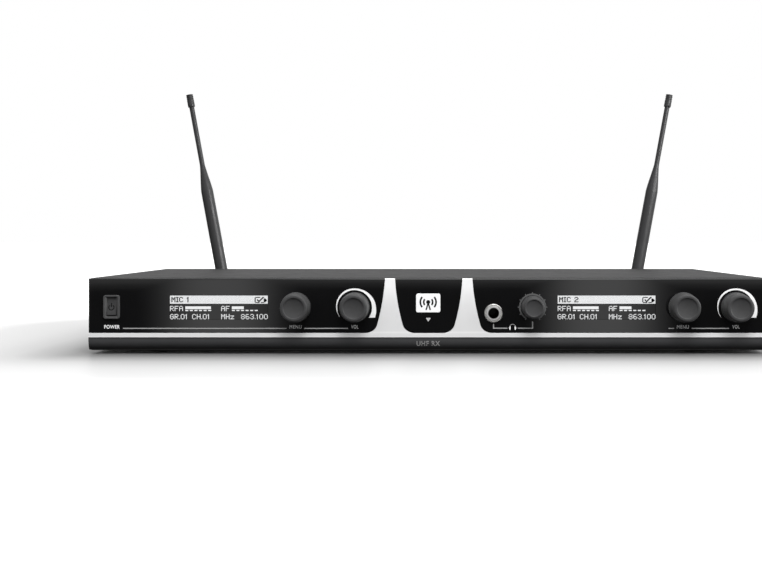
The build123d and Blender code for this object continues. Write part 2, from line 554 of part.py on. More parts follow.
# ---------------------------------------------------------------- antenna sockets, pigtails
def socket(x):
    y = YR
    s = cyl_y(x, ANT_Z, 5.0, y - 7.0, y + 0.5)
    s += hex_y(x, ANT_Z, 13.0, y + 0.03, y + 1.9)
    s += hex_y(x, ANT_Z, 12.0, y - 5.5, y - TRAY - 0.05)
    s += cyl_y(x, ANT_Z, 4.8, y, y + 9.0)
    s -= cyl_y(x, ANT_Z, 4.1, y + 1.2, y + 12)
    s += cyl_y(x, ANT_Z, 0.65, y, y + 7.0)
    s += cyl_x(y + 5.3, ANT_Z, 0.9, x - 5.9, x - 4.4)
    s += cyl_x(y + 5.3, ANT_Z, 0.9, x + 4.4, x + 5.9)
    s += cyl_y(x, ANT_Z, 2.0, y - 9.5, y - 6.5)
    return s


save("antenna_sockets", group([socket(s * ANT_X) for s in (-1, 1)]))
pig = []
for s in (-1, 1):
    pts = [(s * ANT_X, YR - 9.6, ANT_Z), (s * ANT_X, YR - 22, ANT_Z), (s * 156, YR - 34, 23.0), (s * 128, YR - 42, 23.0),
           (s * 110, 42.0, 22.6), (s * 105, 34.0, 21.2)]
    path = FilletPolyline(*pts, radius=[8, 10, 10, 4])
    a = Plane(origin=path @ 0, z_dir=path % 0)
    pg = sweep(a * Circle(0.9), path=path)
    print("pigtail", round(pg.volume, 1), round(pi * 0.81 * path.length, 1))
    pig.append(pg)
save("rf_pigtails", group(pig))

# ---------------------------------------------------------------- antennas
def place(part, s):
    """From the antenna's own frame (elbow at the origin, whip up) to its place, leaning outwards."""
    return Pos(s * ANT_X, YE, ANT_Z) * Rot(0, s * ANT_LEAN, 0) * part


WALL = YR - YE            # rear wall in the antenna's own frame
for nm, s in (("left", -1), ("right", 1)):
    # bayonet ring
    c = cyl_y(0, 0, 7.4, WALL + 2.3, WALL + 10.7)
    c = chamfer([e for e in c.edges() if e.geom_type == GeomType.CIRCLE], 0.5)
    c -= cyl_y(0, 0, 4.9, WALL + 1, WALL + 9.3)
    c -= cyl_y(0, 0, 6.15, WALL + 4.2, WALL + 6.5)
    c -= cyl_y(0, 0, 4.32, WALL + 8, WALL + 12)
    for i in range(14):
        a = radians(i * 360 / 14)
        c -= cyl_y(7.75 * cos(a), 7.75 * sin(a), 0.8, WALL + 2.9, WALL + 8.6)
    save(f"antenna_collar_{nm}", Pos(s * ANT_X, YE, ANT_Z) * c)
    # plug core and forked knuckle
    b = cyl_y(0, 0, 4.05, WALL + 2.0, WALL + 10.0)
    b += cyl_y(0, 0, 4.26, WALL + 9.4, -7.5)
    blk = bx(-4.9, 4.9, -7.9, KNUCKLE_R, -KNUCKLE_R, KNUCKLE_R)
    blk = blk & (cyl_x(0, 0, KNUCKLE_R, -6, 6) + bx(-6, 6, -9, 0, -KNUCKLE_R, KNUCKLE_R))
    e = [k for k in blk.edges().filter_by(Axis.Z)] + [k for k in blk.edges().filter_by(Axis.X) if k.center().Y < -7.8]
    blk = fillet(e, 0.9)
    b += blk
    b -= bx(-2.12, 2.12, -5.3, 8, -8, 8)
    b -= cyl_y(0, 0, 0.95, WALL + 0, WALL + 8.2)
    b -= cyl_x(0, 0, 1.22, -8, 8)
    save(f"antenna_base_{nm}", place(b, s))
    save(f"antenna_pin_{nm}", place(cyl_x(0, 0, 1.2, -4.85, 4.85), s))
    # whip: tongue, sleeve, taper and rod
    w = spin_z([(0, 6.1), (3.9, 6.1), (4.4, 6.6), (4.4, 10), (4.25, 87.3), (1.7, 108.4), (1.7, 163.0), (0, 163.0)])
    t = cyl_x(0, 0, 4.8, -2.0, 2.0) + bx(-2.0, 2.0, -3.6, 3.6, 0, 7.5)
    w += t
    w -= cyl_x(0, 0, 1.27, -4, 4)
    save(f"antenna_whip_{nm}", place(w, s))
    tip = [(0, ANT_LEN), (1.9, ANT_LEN), (2.4, ANT_LEN - 0.5)]
    for g in (165.0, 163.6, 162.2):
        tip += [(2.5, g + 0.45), (2.5, g + 0.3), (2.2, g + 0.15), (2.2, g - 0.15), (2.5, g - 0.3)]
    tip += [(2.5, 156.4), (2.1, 155.9), (1.76, 155.9), (1.76, 163.1), (0, 163.1)]
    save(f"antenna_tip_{nm}", place(spin_z(tip), s))
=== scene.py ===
import bpy, bmesh, json, math
from math import sin, cos, pi, radians
from mathutils import Vector, Matrix

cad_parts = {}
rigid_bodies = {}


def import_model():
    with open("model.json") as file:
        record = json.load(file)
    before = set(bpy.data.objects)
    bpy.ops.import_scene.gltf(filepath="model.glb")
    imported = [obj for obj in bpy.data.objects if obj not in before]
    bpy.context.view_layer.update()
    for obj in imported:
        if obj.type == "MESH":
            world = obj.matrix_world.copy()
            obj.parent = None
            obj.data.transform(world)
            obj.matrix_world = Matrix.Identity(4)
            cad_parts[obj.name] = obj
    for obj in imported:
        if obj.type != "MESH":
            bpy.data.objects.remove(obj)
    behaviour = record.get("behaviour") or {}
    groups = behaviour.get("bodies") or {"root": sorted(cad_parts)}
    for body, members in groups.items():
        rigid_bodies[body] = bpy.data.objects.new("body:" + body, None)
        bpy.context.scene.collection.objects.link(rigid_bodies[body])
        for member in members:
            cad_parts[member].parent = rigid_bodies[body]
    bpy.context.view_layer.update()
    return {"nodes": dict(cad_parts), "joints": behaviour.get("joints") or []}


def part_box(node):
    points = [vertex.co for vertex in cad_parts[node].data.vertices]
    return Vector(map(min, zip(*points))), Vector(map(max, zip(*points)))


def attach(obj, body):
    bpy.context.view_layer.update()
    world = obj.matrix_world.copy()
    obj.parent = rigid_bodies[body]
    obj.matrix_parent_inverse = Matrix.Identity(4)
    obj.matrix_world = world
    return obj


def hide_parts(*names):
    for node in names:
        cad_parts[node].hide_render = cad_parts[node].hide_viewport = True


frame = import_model()
M = 0.001

# ------------------------------------------------------------------ places, all read from the frame
tl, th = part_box("trim_plate")
YF = tl.y / M                                   # front plane, mm
cl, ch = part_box("top_cover")
YR = ch.y / M - 1.0                             # outer face of the rear wall, mm


def mid(node):
    a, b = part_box(node)
    return ((a.x + b.x) / 2 / M, (a.y + b.y) / 2 / M, (a.z + b.z) / 2 / M)


MENU_L, MENU_R = mid("menu_knob_left"), mid("menu_knob_right")
VOL_L, VOL_R = mid("volume_knob_left"), mid("volume_knob_right")
PHK = mid("phones_knob")
PHJ = mid("phones_jack")
BADGE = mid("badge_plate")
SWITCH = mid("power_switch_body")
gl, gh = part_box("display_glasses")
DISP_W = 60.3
DISP_L = gl.x / M + 0.05
DISP_R = gh.x / M - 0.05 - DISP_W
DISP_TOP = gh.z / M - 0.05

# ------------------------------------------------------------------ camera, at the photograph's viewing angle
cam_d = bpy.data.cameras.new("cam")
cam_d.sensor_width = 36.0
cam_d.lens = 56.28
cam_d.shift_x = -0.0667
cam_d.shift_y = -0.0585
cam_d.clip_start = 0.01
cam_d.clip_end = 60
cam_d.dof.use_dof = False
cam = bpy.data.objects.new("cam", cam_d)
cam.location = (0.00194, YF * M - 0.735, 0.0727)
cam.rotation_euler = (radians(90), 0, 0)
bpy.context.scene.collection.objects.link(cam)
bpy.context.scene.camera = cam
bpy.context.scene.view_settings.view_transform = "Standard"

# ------------------------------------------------------------------ materials


def new_mat(name):
    m = bpy.data.materials.new(name)
    m.use_nodes = True
    nt = m.node_tree
    p = nt.nodes["Principled BSDF"]
    return m, nt, p


def noise(nt, coord, scale, detail=3.0, rough=0.55, stretch=None):
    n = nt.nodes.new("ShaderNodeTexNoise")
    n.inputs["Scale"].default_value = scale
    n.inputs["Detail"].default_value = detail
    n.inputs["Roughness"].default_value = rough
    if stretch:
        mp = nt.nodes.new("ShaderNodeMapping")
        mp.inputs["Scale"].default_value = stretch
        nt.links.new(coord, mp.inputs["Vector"])
        nt.links.new(mp.outputs["Vector"], n.inputs["Vector"])
    else:
        nt.links.new(coord, n.inputs["Vector"])
    return n


def ramp(nt, fac, lo, hi, a=0.3, b=0.7):
    r = nt.nodes.new("ShaderNodeMapRange")
    r.inputs["From Min"].default_value = a
    r.inputs["From Max"].default_value = b
    r.inputs["To Min"].default_value = lo
    r.inputs["To Max"].default_value = hi
    nt.links.new(fac, r.inputs["Value"])
    return r.outputs["Result"]


def surface(name, base, rough, metallic=0.0, spec=0.5, var=0.08, scale=60.0, rvar=0.06, rscale=90.0,
            bump=0.15, bscale=2500.0, bdist=0.00003, stretch=None, coat=0.0, coat_rough=0.05, detail=3.0,
            sheen=0.0, aniso=0.0, wear=0.0, ior=1.5, emis=0.0):
    """A procedural surface: colour and roughness drift, and fine relief."""
    m, nt, p = new_mat(name)
    tc = nt.nodes.new("ShaderNodeTexCoord").outputs["Object"]
    n1 = noise(nt, tc, scale, 4.0)
    mix = nt.nodes.new("ShaderNodeMix")
    mix.data_type = "RGBA"
    lo = [max(0.0, c * (1 - var)) for c in base] + [1]
    hi = [min(1.0, c * (1 + var)) for c in base] + [1]
    mix.inputs[6].default_value = lo
    mix.inputs[7].default_value = hi
    nt.links.new(ramp(nt, n1.outputs["Fac"], 0, 1), mix.inputs["Factor"])
    col = mix.outputs[2]
    if wear > 0:
        geo = nt.nodes.new("ShaderNodeNewGeometry")
        w = ramp(nt, geo.outputs["Pointiness"], 0, wear, 0.52, 0.60)
        m2 = nt.nodes.new("ShaderNodeMix")
        m2.data_type = "RGBA"
        nt.links.new(w, m2.inputs["Factor"])
        nt.links.new(col, m2.inputs[6])
        m2.inputs[7].default_value = [min(1, c * 2.2 + 0.03) for c in base] + [1]
        col = m2.outputs[2]
    nt.links.new(col, p.inputs["Base Color"])
    n2 = noise(nt, tc, rscale, 3.0, stretch=stretch)
    nt.links.new(ramp(nt, n2.outputs["Fac"], max(0.0, rough - rvar), min(1.0, rough + rvar)), p.inputs["Roughness"])
    n3 = noise(nt, tc, bscale, detail, stretch=stretch)
    b = nt.nodes.new("ShaderNodeBump")
    b.inputs["Strength"].default_value = bump
    b.inputs["Distance"].default_value = bdist
    nt.links.new(n3.outputs["Fac"], b.inputs["Height"])
    nt.links.new(b.outputs["Normal"], p.inputs["Normal"])
    p.inputs["Metallic"].default_value = metallic
    p.inputs["Specular IOR Level"].default_value = spec
    p.inputs["IOR"].default_value = ior
    if coat:
        p.inputs["Coat Weight"].default_value = coat
        p.inputs["Coat Roughness"].default_value = coat_rough
    if sheen:
        p.inputs["Sheen Weight"].default_value = sheen
        p.inputs["Sheen Roughness"].default_value = 0.5
    if aniso:
        p.inputs["Anisotropic"].default_value = aniso
    return m


def lit(name, base, strength, scale=900.0):
    """Softly glowing print on the displays, with a slight unevenness."""
    m, nt, p = new_mat(name)
    tc = nt.nodes.new("ShaderNodeTexCoord").outputs["Object"]
    n1 = noise(nt, tc, scale, 2.0)
    mix = nt.nodes.new("ShaderNodeMix")
    mix.data_type = "RGBA"
    mix.inputs[6].default_value = [c * 0.93 for c in base] + [1]
    mix.inputs[7].default_value = list(base) + [1]
    nt.links.new(ramp(nt, n1.outputs["Fac"], 0, 1), mix.inputs["Factor"])
    dim = nt.nodes.new("ShaderNodeVectorMath")
    dim.operation = "SCALE"
    dim.inputs["Scale"].default_value = 0.34
    nt.links.new(mix.outputs[2], dim.inputs[0])
    nt.links.new(dim.outputs[0], p.inputs["Base Color"])
    nt.links.new(mix.outputs[2], p.inputs["Emission Color"])
    p.inputs["Emission Strength"].default_value = strength
    p.inputs["Roughness"].default_value = 0.35
    return m


def shade_by(m, fn):
    """Multiply a material's colour by a factor from fn(nt, x, y, z), built on object coordinates in metres."""
    nt = m.node_tree
    p = nt.nodes["Principled BSDF"]
    src = p.inputs["Base Color"].links[0].from_socket
    tc = nt.nodes.new("ShaderNodeTexCoord").outputs["Object"]
    sp = nt.nodes.new("ShaderNodeSeparateXYZ")
    nt.links.new(tc, sp.inputs[0])
    f = fn(nt, sp.outputs[0], sp.outputs[1], sp.outputs[2])
    v = nt.nodes.new("ShaderNodeVectorMath")
    v.operation = "SCALE"
    nt.links.new(src, v.inputs[0])
    nt.links.new(f, v.inputs["Scale"])
    nt.links.new(v.outputs[0], p.inputs["Base Color"])
    return m


def curve(nt, v, pts):
    """Piecewise linear function of v through (value, result) points, as nodes."""
    out = None
    for (a, fa), (b, fb) in zip(pts, pts[1:]):
        r = nt.nodes.new("ShaderNodeMapRange")
        r.inputs["From Min"].default_value = a
        r.inputs["From Max"].default_value = b
        r.inputs["To Min"].default_value = fa if out is None else 0.0
        r.inputs["To Max"].default_value = fb if out is None else fb - fa
        nt.links.new(v, r.inputs["Value"])
        if out is None:
            out = r.outputs["Result"]
        else:
            q = nt.nodes.new("ShaderNodeMath")
            q.operation = "ADD"
            nt.links.new(out, q.inputs[0])
            nt.links.new(r.outputs["Result"], q.inputs[1])
            out = q.outputs[0]
    return out


def m2(nt, op, a, b=None, c=None):
    n = nt.nodes.new("ShaderNodeMath")
    n.operation = op
    for i, q in enumerate((a, b, c)):
        if q is None:
            continue
        if isinstance(q, (int, float)):
            n.inputs[i].default_value = q
        else:
            nt.links.new(q, n.inputs[i])
    return n.outputs[0]


def radial(nt, u, v, cu, cv):
    """Distance from the point (cu, cv)."""
    a = m2(nt, "SUBTRACT", u, cu)
    b = m2(nt, "SUBTRACT", v, cv)
    return m2(nt, "SQRT", m2(nt, "ADD", m2(nt, "MULTIPLY", a, a), m2(nt, "MULTIPLY", b, b)))


MAT = {
    "powder": surface("powder_coat", (0.023, 0.023, 0.0235), 0.60, spec=0.12, var=0.03, scale=35, bump=0.35, bscale=3200, bdist=0.00004, detail=2.0, rvar=0.04),
    "tray": surface("tray_coat", (0.030, 0.030, 0.031), 0.5, spec=0.3, var=0.08, scale=45, bump=0.35, bscale=3000, bdist=0.00004, detail=2.0),
    "bezel": surface("bezel_plastic", (0.046, 0.046, 0.048), 0.42, spec=0.35, var=0.05, scale=80, bump=0.18, bscale=4200, bdist=0.00002, rvar=0.05),
    "silver": surface("silver_paint", (0.92, 0.92, 0.925), 0.42, metallic=0.10, spec=0.5, var=0.012, scale=150, bump=0.06, bscale=5200, bdist=0.00002, rvar=0.05),
    "gloss": surface("gloss_black", (0.0042, 0.0042, 0.0045), 0.030, spec=0.5, var=0.12, scale=40, bump=0.02, bscale=60, bdist=0.00002, rvar=0.012, rscale=30),
    "glass": surface("display_cover", (0.0030, 0.0031, 0.0034), 0.05, spec=0.42, var=0.10, scale=40, bump=0.02, bscale=80, bdist=0.00002, rvar=0.01, rscale=30),
    "badge": surface("badge_white", (0.95, 0.95, 0.955), 0.28, spec=0.5, var=0.010, scale=300, bump=0.05, bscale=2600, bdist=0.00002),
    "badge_ink": surface("badge_ink", (0.004, 0.004, 0.004), 0.5, spec=0.15, var=0.2, scale=400, bump=0.05),
    "rubber": surface("foot_rubber", (0.022, 0.022, 0.022), 0.75, spec=0.3, var=0.2, scale=240, bump=0.5, bscale=1600, bdist=0.00008),
    "black_zinc": surface("black_zinc", (0.03, 0.03, 0.031), 0.34, metallic=0.7, var=0.15, scale=400, bump=0.15, bscale=2500),
    "zinc": surface("zinc_plate", (0.62, 0.62, 0.63), 0.3, metallic=1.0, var=0.08, scale=300, bump=0.12, bscale=2500),
    "brass": surface("brass", (0.72, 0.53, 0.22), 0.3, metallic=1.0, var=0.08, scale=300, bump=0.1),
    "pcb": surface("solder_mask", (0.012, 0.12, 0.045), 0.35, var=0.3, scale=90, bump=0.3, bscale=700, bdist=0.00005, coat=0.4),
    "tin": surface("tinned_sheet", (0.66, 0.66, 0.66), 0.33, metallic=1.0, var=0.08, scale=120, bump=0.2, bscale=900),
    "epoxy": surface("moulded_epoxy", (0.02, 0.02, 0.021), 0.55, var=0.2, scale=300, bump=0.3, bscale=2200),
    "module": surface("module_moulding", (0.04, 0.04, 0.041), 0.5, var=0.1, scale=150, bump=0.25, bscale=2600),
    "switch": surface("switch_nylon", (0.052, 0.052, 0.053), 0.42, spec=0.45, var=0.08, scale=200, bump=0.2, bscale=3600, rvar=0.05),
    "rocker": surface("rocker_nylon", (0.034, 0.034, 0.035), 0.45, spec=0.4, var=0.08, scale=200, bump=0.2, bscale=3600, rvar=0.05),
    "steel": surface("plated_steel", (0.5, 0.5, 0.5), 0.3, metallic=1.0, var=0.08, scale=200, bump=0.15, bscale=1800),
    "nickel": surface("nickel_plate", (0.74, 0.73, 0.71), 0.24, metallic=1.0, var=0.05, scale=220, bump=0.12, bscale=2600, bdist=0.00002, rvar=0.06),
    "jack_front": surface("jack_front_plate", (0.51, 0.507, 0.505), 0.42, metallic=0.35, spec=0.6, var=0.04, scale=220, bump=0.10, bscale=2600, bdist=0.00002, rvar=0.05),
    "jack_rear": surface("jack_rear_plate", (0.52, 0.515, 0.51), 0.30, metallic=0.5, spec=0.6, var=0.04, scale=220, bump=0.10, bscale=2600, bdist=0.00002, rvar=0.05),
    "connector": surface("connector_nylon", (0.022, 0.022, 0.023), 0.42, var=0.14, scale=180, bump=0.3, bscale=2800),
    "silvered": surface("silver_plate", (0.78, 0.77, 0.73), 0.2, metallic=1.0, var=0.05, scale=300, bump=0.08),
    "inlet": surface("inlet_moulding", (0.022, 0.022, 0.022), 0.45, var=0.14, scale=220, bump=0.25, bscale=2600),
    "ribbon": surface("ribbon_grey", (0.42, 0.42, 0.43), 0.5, var=0.1, scale=60, bump=0.5, bscale=900, stretch=(1, 0.05, 0.05), bdist=0.0001),
    "coax": surface("coax_jacket", (0.02, 0.02, 0.02), 0.5, var=0.15, scale=200, bump=0.25, bscale=1500),
    "antenna": surface("antenna_moulding", (0.026, 0.026, 0.027), 0.40, spec=0.45, var=0.06, scale=120, bump=0.2, bscale=3400, bdist=0.00003, rvar=0.05),
    "knob": surface("knob_soft_touch", (0.044, 0.044, 0.045), 0.50, spec=0.35, var=0.05, scale=220, bump=0.25, bscale=4200, bdist=0.00002, rvar=0.05, sheen=0.05),
    "ink_white": surface("ink_white", (0.90, 0.90, 0.90), 0.45, var=0.03, scale=700, bump=0.05, bscale=4000, bdist=0.00001),
    "ink_light": surface("ink_light", (0.52, 0.52, 0.52), 0.45, var=0.05, scale=700, bump=0.05, bscale=4000, bdist=0.00001),
    "ink_mid": surface("ink_mid", (0.33, 0.33, 0.33), 0.45, var=0.05, scale=700, bump=0.05, bscale=4000, bdist=0.00001),
    "ink_text": surface("ink_text", (0.50, 0.50, 0.50), 0.45, var=0.05, scale=700, bump=0.05, bscale=4000, bdist=0.00001),
    "ink_grey": surface("ink_grey", (0.085, 0.085, 0.086), 0.45, var=0.06, scale=700, bump=0.05, bscale=4000, bdist=0.00001),
    "ink_lip": surface("ink_lip", (0.30, 0.30, 0.30), 0.45, var=0.05, scale=700, bump=0.05, bscale=4000, bdist=0.00001),
    "ink_rear": surface("ink_rear", (0.55, 0.55, 0.55), 0.45, var=0.05, scale=700, bump=0.05, bscale=4000, bdist=0.00001),
    "ink_symbol": surface("ink_symbol", (0.0012, 0.0012, 0.0012), 0.9, spec=0.02, var=0.2, scale=700, bump=0.05),
    "ink_dark": surface("ink_dark", (0.012, 0.012, 0.012), 0.5, var=0.2, scale=700, bump=0.05),
    "lcd": lit("lcd_white", (0.86, 0.87, 0.88), 0.68),
}
# painted light: the silver is painted a little brighter towards the top, where the light from above falls, and the
# strip below the windows gets a painted highlight along each edge
shade_by(MAT["silver"], lambda nt, x, y, z: curve(nt, z, [(0.0105, 0.90), (0.0112, 0.80), (0.0126, 0.80), (0.0134, 0.90), (0.0145, 0.80), (0.020, 0.80), (0.030, 0.83), (0.036, 0.90), (0.042, 1.0)]))
# painted shade: the lip's colour darkens towards its lower edge, where it turns under away from the light, and a
# painted shadow darkens the bezel just under the strip
shade_by(MAT["bezel"], lambda nt, x, y, z: curve(nt, z, [(0.0012, 0.0), (0.0028, 0.10), (0.0040, 0.28), (0.0055, 0.55), (0.0070, 0.85), (0.0085, 1.0), (0.0094, 1.0), (0.0099, 0.45)]))
# the holes of the jacks are black inside
shade_by(MAT["jack_front"], lambda nt, x, y, z: curve(nt, radial(nt, x, z, PHJ[0] * M, PHJ[2] * M), [(0.00328, 0.0), (0.00342, 1.0), (0.0042, 1.0), (0.0045, 0.86), (0.0048, 1.0)]))
def hole_mask(m, holes, r):
    """Black, dull walls inside round holes along Y: metal and shine fall to nothing inside the radius."""
    nt = m.node_tree
    p = nt.nodes["Principled BSDF"]
    tc = nt.nodes.new("ShaderNodeTexCoord").outputs["Object"]
    sp = nt.nodes.new("ShaderNodeSeparateXYZ")
    nt.links.new(tc, sp.inputs[0])
    d = None
    for cx, cz in holes:
        q = radial(nt, sp.outputs[0], sp.outputs[2], cx, cz)
        d = q if d is None else m2(nt, "MINIMUM", d, q)
    k = curve(nt, d, [(r - 0.00006, 0.0), (r + 0.00006, 1.0)])
    src = p.inputs["Base Color"].links[0].from_socket
    v = nt.nodes.new("ShaderNodeVectorMath")
    v.operation = "SCALE"
    nt.links.new(src, v.inputs[0])
    nt.links.new(k, v.inputs["Scale"])
    nt.links.new(v.outputs[0], p.inputs["Base Color"])
    nt.links.new(m2(nt, "MULTIPLY", k, p.inputs["Metallic"].default_value), p.inputs["Metallic"])


REAR_HOLES = [(-0.088, 0.0235), (0.090, 0.0235), (0.020, 0.0235)]
hole_mask(MAT["jack_front"], [(PHJ[0] * M, PHJ[2] * M)], 0.00342)
hole_mask(MAT["jack_rear"], REAR_HOLES, 0.00335)

NODE_MAT = {
    "chassis_tray": "tray", "front_wall": "tray", "rear_panel": "tray", "top_cover": "powder", "front_bezel": "bezel", "trim_plate": "silver", "window_left": "gloss", "window_right": "gloss",
    "centre_panel": "gloss", "badge_plate": "badge", "rubber_feet": "rubber", "cover_screws": "black_zinc", "panel_screws": "black_zinc",
    "board_screws": "zinc", "board_standoffs": "brass", "main_board": "pcb", "front_board": "pcb", "rf_shields": "tin", "board_chips": "epoxy",
    "display_glasses": "glass", "display_modules": "module", "power_switch_body": "switch", "power_rocker": "rocker", "control_bodies": "steel",
    "control_nuts": "nickel", "phones_jack": "jack_front", "output_jacks": "jack_rear", "jack_nuts": "nickel",
    "xlr_sockets": "connector", "xlr_contacts": "silvered", "dc_inlet": "inlet", "cable_hook": "inlet", "antenna_sockets": "nickel",
    "level_switch_bodies": "module", "level_slider_left": "inlet", "level_slider_right": "inlet", "ribbon_cable": "ribbon", "rf_pigtails": "coax",
}
for n, o in frame["nodes"].items():
    key = NODE_MAT.get(n)
    if key is None:
        if n.startswith(("menu_shaft", "volume_shaft", "phones_shaft")):
            key = "steel"
        elif n.startswith("menu_plunger"):
            key = "epoxy"
        elif n.startswith(("antenna_collar", "antenna_pin")):
            key = "nickel"
        elif n.startswith("antenna"):
            key = "antenna"
        else:
            key = "knob"
    o.data.materials.clear()
    o.data.materials.append(MAT[key])
    o.data.shade_smooth()
    o.data.set_sharp_from_angle(angle=radians(28))

# ------------------------------------------------------------------ mesh helpers (all lengths in mm)


def make(name, verts, faces, mat, body, slot, smooth=None):
    me = bpy.data.meshes.new(name)
    me.from_pydata([Vector(v) * M for v in verts], [], faces)
    bm = bmesh.new()
    bm.from_mesh(me)
    bmesh.ops.remove_doubles(bm, verts=bm.verts, dist=1e-7)
    bmesh.ops.recalc_face_normals(bm, faces=bm.faces)
    bm.to_mesh(me)
    bm.free()
    me.validate()
    me.materials.append(MAT[mat])
    if smooth:
        me.shade_smooth()
        me.set_sharp_from_angle(angle=radians(smooth))
    o = bpy.data.objects.new(name, me)
    bpy.context.scene.collection.objects.link(o)
    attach(o, body)
    return o


def prisms(polys, y0, y1):
    """Closed prisms from polygons given as (x, z) lists, front face at y0 and back at y1."""
    v, f = [], []
    for poly in polys:
        n = len(poly)
        b = len(v)
        v += [(x, y0, z) for x, z in poly] + [(x, y1, z) for x, z in poly]
        f.append(tuple(range(b, b + n)))
        f.append(tuple(range(b + 2 * n - 1, b + n - 1, -1)))
        for i in range(n):
            j = (i + 1) % n
            f.append((b + i, b + n + i, b + n + j, b + j))
    return v, f


def strip(inner, outer):
    """Quads between two equally long point lists."""
    return [[inner[i], inner[i + 1], outer[i + 1], outer[i]] for i in range(len(inner) - 1)]


def rect(x0, x1, z0, z1):
    return [(x0, z0), (x1, z0), (x1, z1), (x0, z1)]


def arc_pts(cx, cz, r, a0, a1, n):
    return [(cx + r * cos(radians(a0 + (a1 - a0) * i / n)), cz + r * sin(radians(a0 + (a1 - a0) * i / n))) for i in range(n + 1)]


def ring_poly(cx, cz, r0, r1, a0, a1, n=48):
    return strip(arc_pts(cx, cz, r0, a0, a1, n), arc_pts(cx, cz, r1, a0, a1, n))


def text_polys(s, size, x, z, y0, y1, bold=0.0, spacing=1.0, align="CENTER", width=None):
    """Vertices and faces of a line of lettering standing in the XZ plane, cap height size mm, centred on (x, z)."""
    cu = bpy.data.curves.new("t", "FONT")
    cu.body = s
    cu.size = 1.0
    cu.space_character = spacing
    cu.align_x = align
    cu.offset = bold
    cu.resolution_u = 6
    ob = bpy.data.objects.new("t", cu)
    bpy.context.scene.collection.objects.link(ob)
    dg = bpy.context.evaluated_depsgraph_get()
    me = bpy.data.meshes.new_from_object(ob.evaluated_get(dg))
    xs = [v.co.x for v in me.vertices]
    ys = [v.co.y for v in me.vertices]
    cap = 0.729
    k = size / cap
    kx = width / (max(xs) - min(xs)) if width else k
    cx = (min(xs) + max(xs)) / 2 if align == "CENTER" else 0
    bm = bmesh.new()
    bm.from_mesh(me)
    bmesh.ops.remove_doubles(bm, verts=bm.verts, dist=1e-5)
    bmesh.ops.dissolve_limit(bm, angle_limit=radians(1), verts=bm.verts, edges=bm.edges)
    bmesh.ops.triangulate(bm, faces=bm.faces)
    bm.verts.ensure_lookup_table()
    v = [((q.co.x - cx) * kx + x, y0, q.co.y * k + z - size / 2) for q in bm.verts]
    n = len(v)
    v += [(a, y1, c) for a, _, c in v]
    f = [tuple(q.index for q in t.verts) for t in bm.faces]
    back = [tuple(i + n for i in reversed(t)) for t in f]
    sides = []
    for e in bm.edges:
        if len(e.link_faces) == 1:
            a, b = e.verts[0].index, e.verts[1].index
            sides.append((a, b, b + n, a + n))
    bm.free()
    bpy.data.objects.remove(ob)
    bpy.data.curves.remove(cu)
    bpy.data.meshes.remove(me)
    return v, f + back + sides


def merge(*parts):
    v, f = [], []
    for pv, pf in parts:
        b = len(v)
        v += pv
        f += [tuple(i + b for i in t) for t in pf]
    return v, f


def spin(prof, centre, axis="Y", segs=96, sign=-1, closed=False):
    """Surface of revolution. prof: (radius, along) pairs. Along Y with the given sign, or along Z."""
    v, f, rings = [], [], []
    for r, a in prof:
        if r < 1e-6:
            rings.append([len(v)])
            v.append((0, a))
        else:
            rings.append(list(range(len(v), len(v) + segs)))
            v += [(r, a, i) for i in range(segs)]
    out = []
    for q in v:
        if len(q) == 2:
            r, a, t = 0.0, q[1], 0.0
        else:
            r, a, t = q[0], q[1], 2 * pi * q[2] / segs
        if axis == "Y":
            out.append((centre[0] + r * cos(t), centre[1] + sign * a, centre[2] + r * sin(t)))
        else:
            out.append((centre[0] + r * cos(t), centre[1] + r * sin(t), centre[2] + a))
    pairs = list(zip(rings, rings[1:])) + ([(rings[-1], rings[0])] if closed else [])
    for p, q in pairs:
        for i in range(segs):
            j = (i + 1) % segs
            if len(p) == 1 and len(q) == 1:
                continue
            if len(p) == 1:
                f.append((p[0], q[i], q[j]))
            elif len(q) == 1:
                f.append((p[i], q[0], p[j]))
            else:
                f.append((p[i], q[i], q[j], p[j]))
    return out, f


# ------------------------------------------------------------------ knobs: soft-touch, dished faces, a fine gap above the skirt


def knob(name, node, body, x, z, rs, rb, rl, rf, h, gap, hollow, dish):
    p = [(hollow, 5.0), (hollow, gap + 0.3), (hollow + 0.25, gap)]
    p += [(rs - 0.45, gap), (rs - 0.14, gap + 0.08), (rs, gap + 0.32), (rs, gap + 1.0), (rs, 2.12), (rs - 0.10, 2.30), (rs - 0.30, 2.38)]
    p += [(rb - 0.28, 2.40), (rb - 0.34, 2.50), (rb - 0.28, 2.62), (rb - 0.06, 2.70), (rb, 2.86)]
    n = 8
    for i in range(1, n + 1):
        t = i / n
        p.append((rb + (rl + 0.12 - rb) * t ** 1.1, 2.86 + (h - 1.5 - 2.86) * t))
    # rounded front lip
    c, rr = h - 1.15, 1.15
    for i in range(1, 9):
        a = radians(90 * i / 8)
        p.append((rl + 0.10 - rr + rr * cos(a) - 0.02 * i, c + rr * sin(a)))
    edge = p[-1][0]
    p.append(((edge + rf) / 2 + 0.15, h + 0.0))
    # a small crisp step, then the shallow dish
    p += [(rf + 0.20, h - 0.01), (rf + 0.06, h - 0.05), (rf - 0.02, h - 0.16), (rf - 0.10, h - 0.52), (rf - 0.20, h - 0.64)]
    k = 14
    for i in range(1, k + 1):
        t = 1 - i / k
        r = (rf - 0.20) * t
        p.append((r, h - 0.64 - (dish - 0.64) * (1 - t * t)))
    p2 = [(0.0, h - 2.7), (3.0, h - 2.7), (3.0, 5.0)]
    v, f = spin(p + p2, (x, YF, z), segs=128, closed=True)
    o = make(name, v, f, "knob", body, "knob_plastic", smooth=40)
    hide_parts(node)
    return o


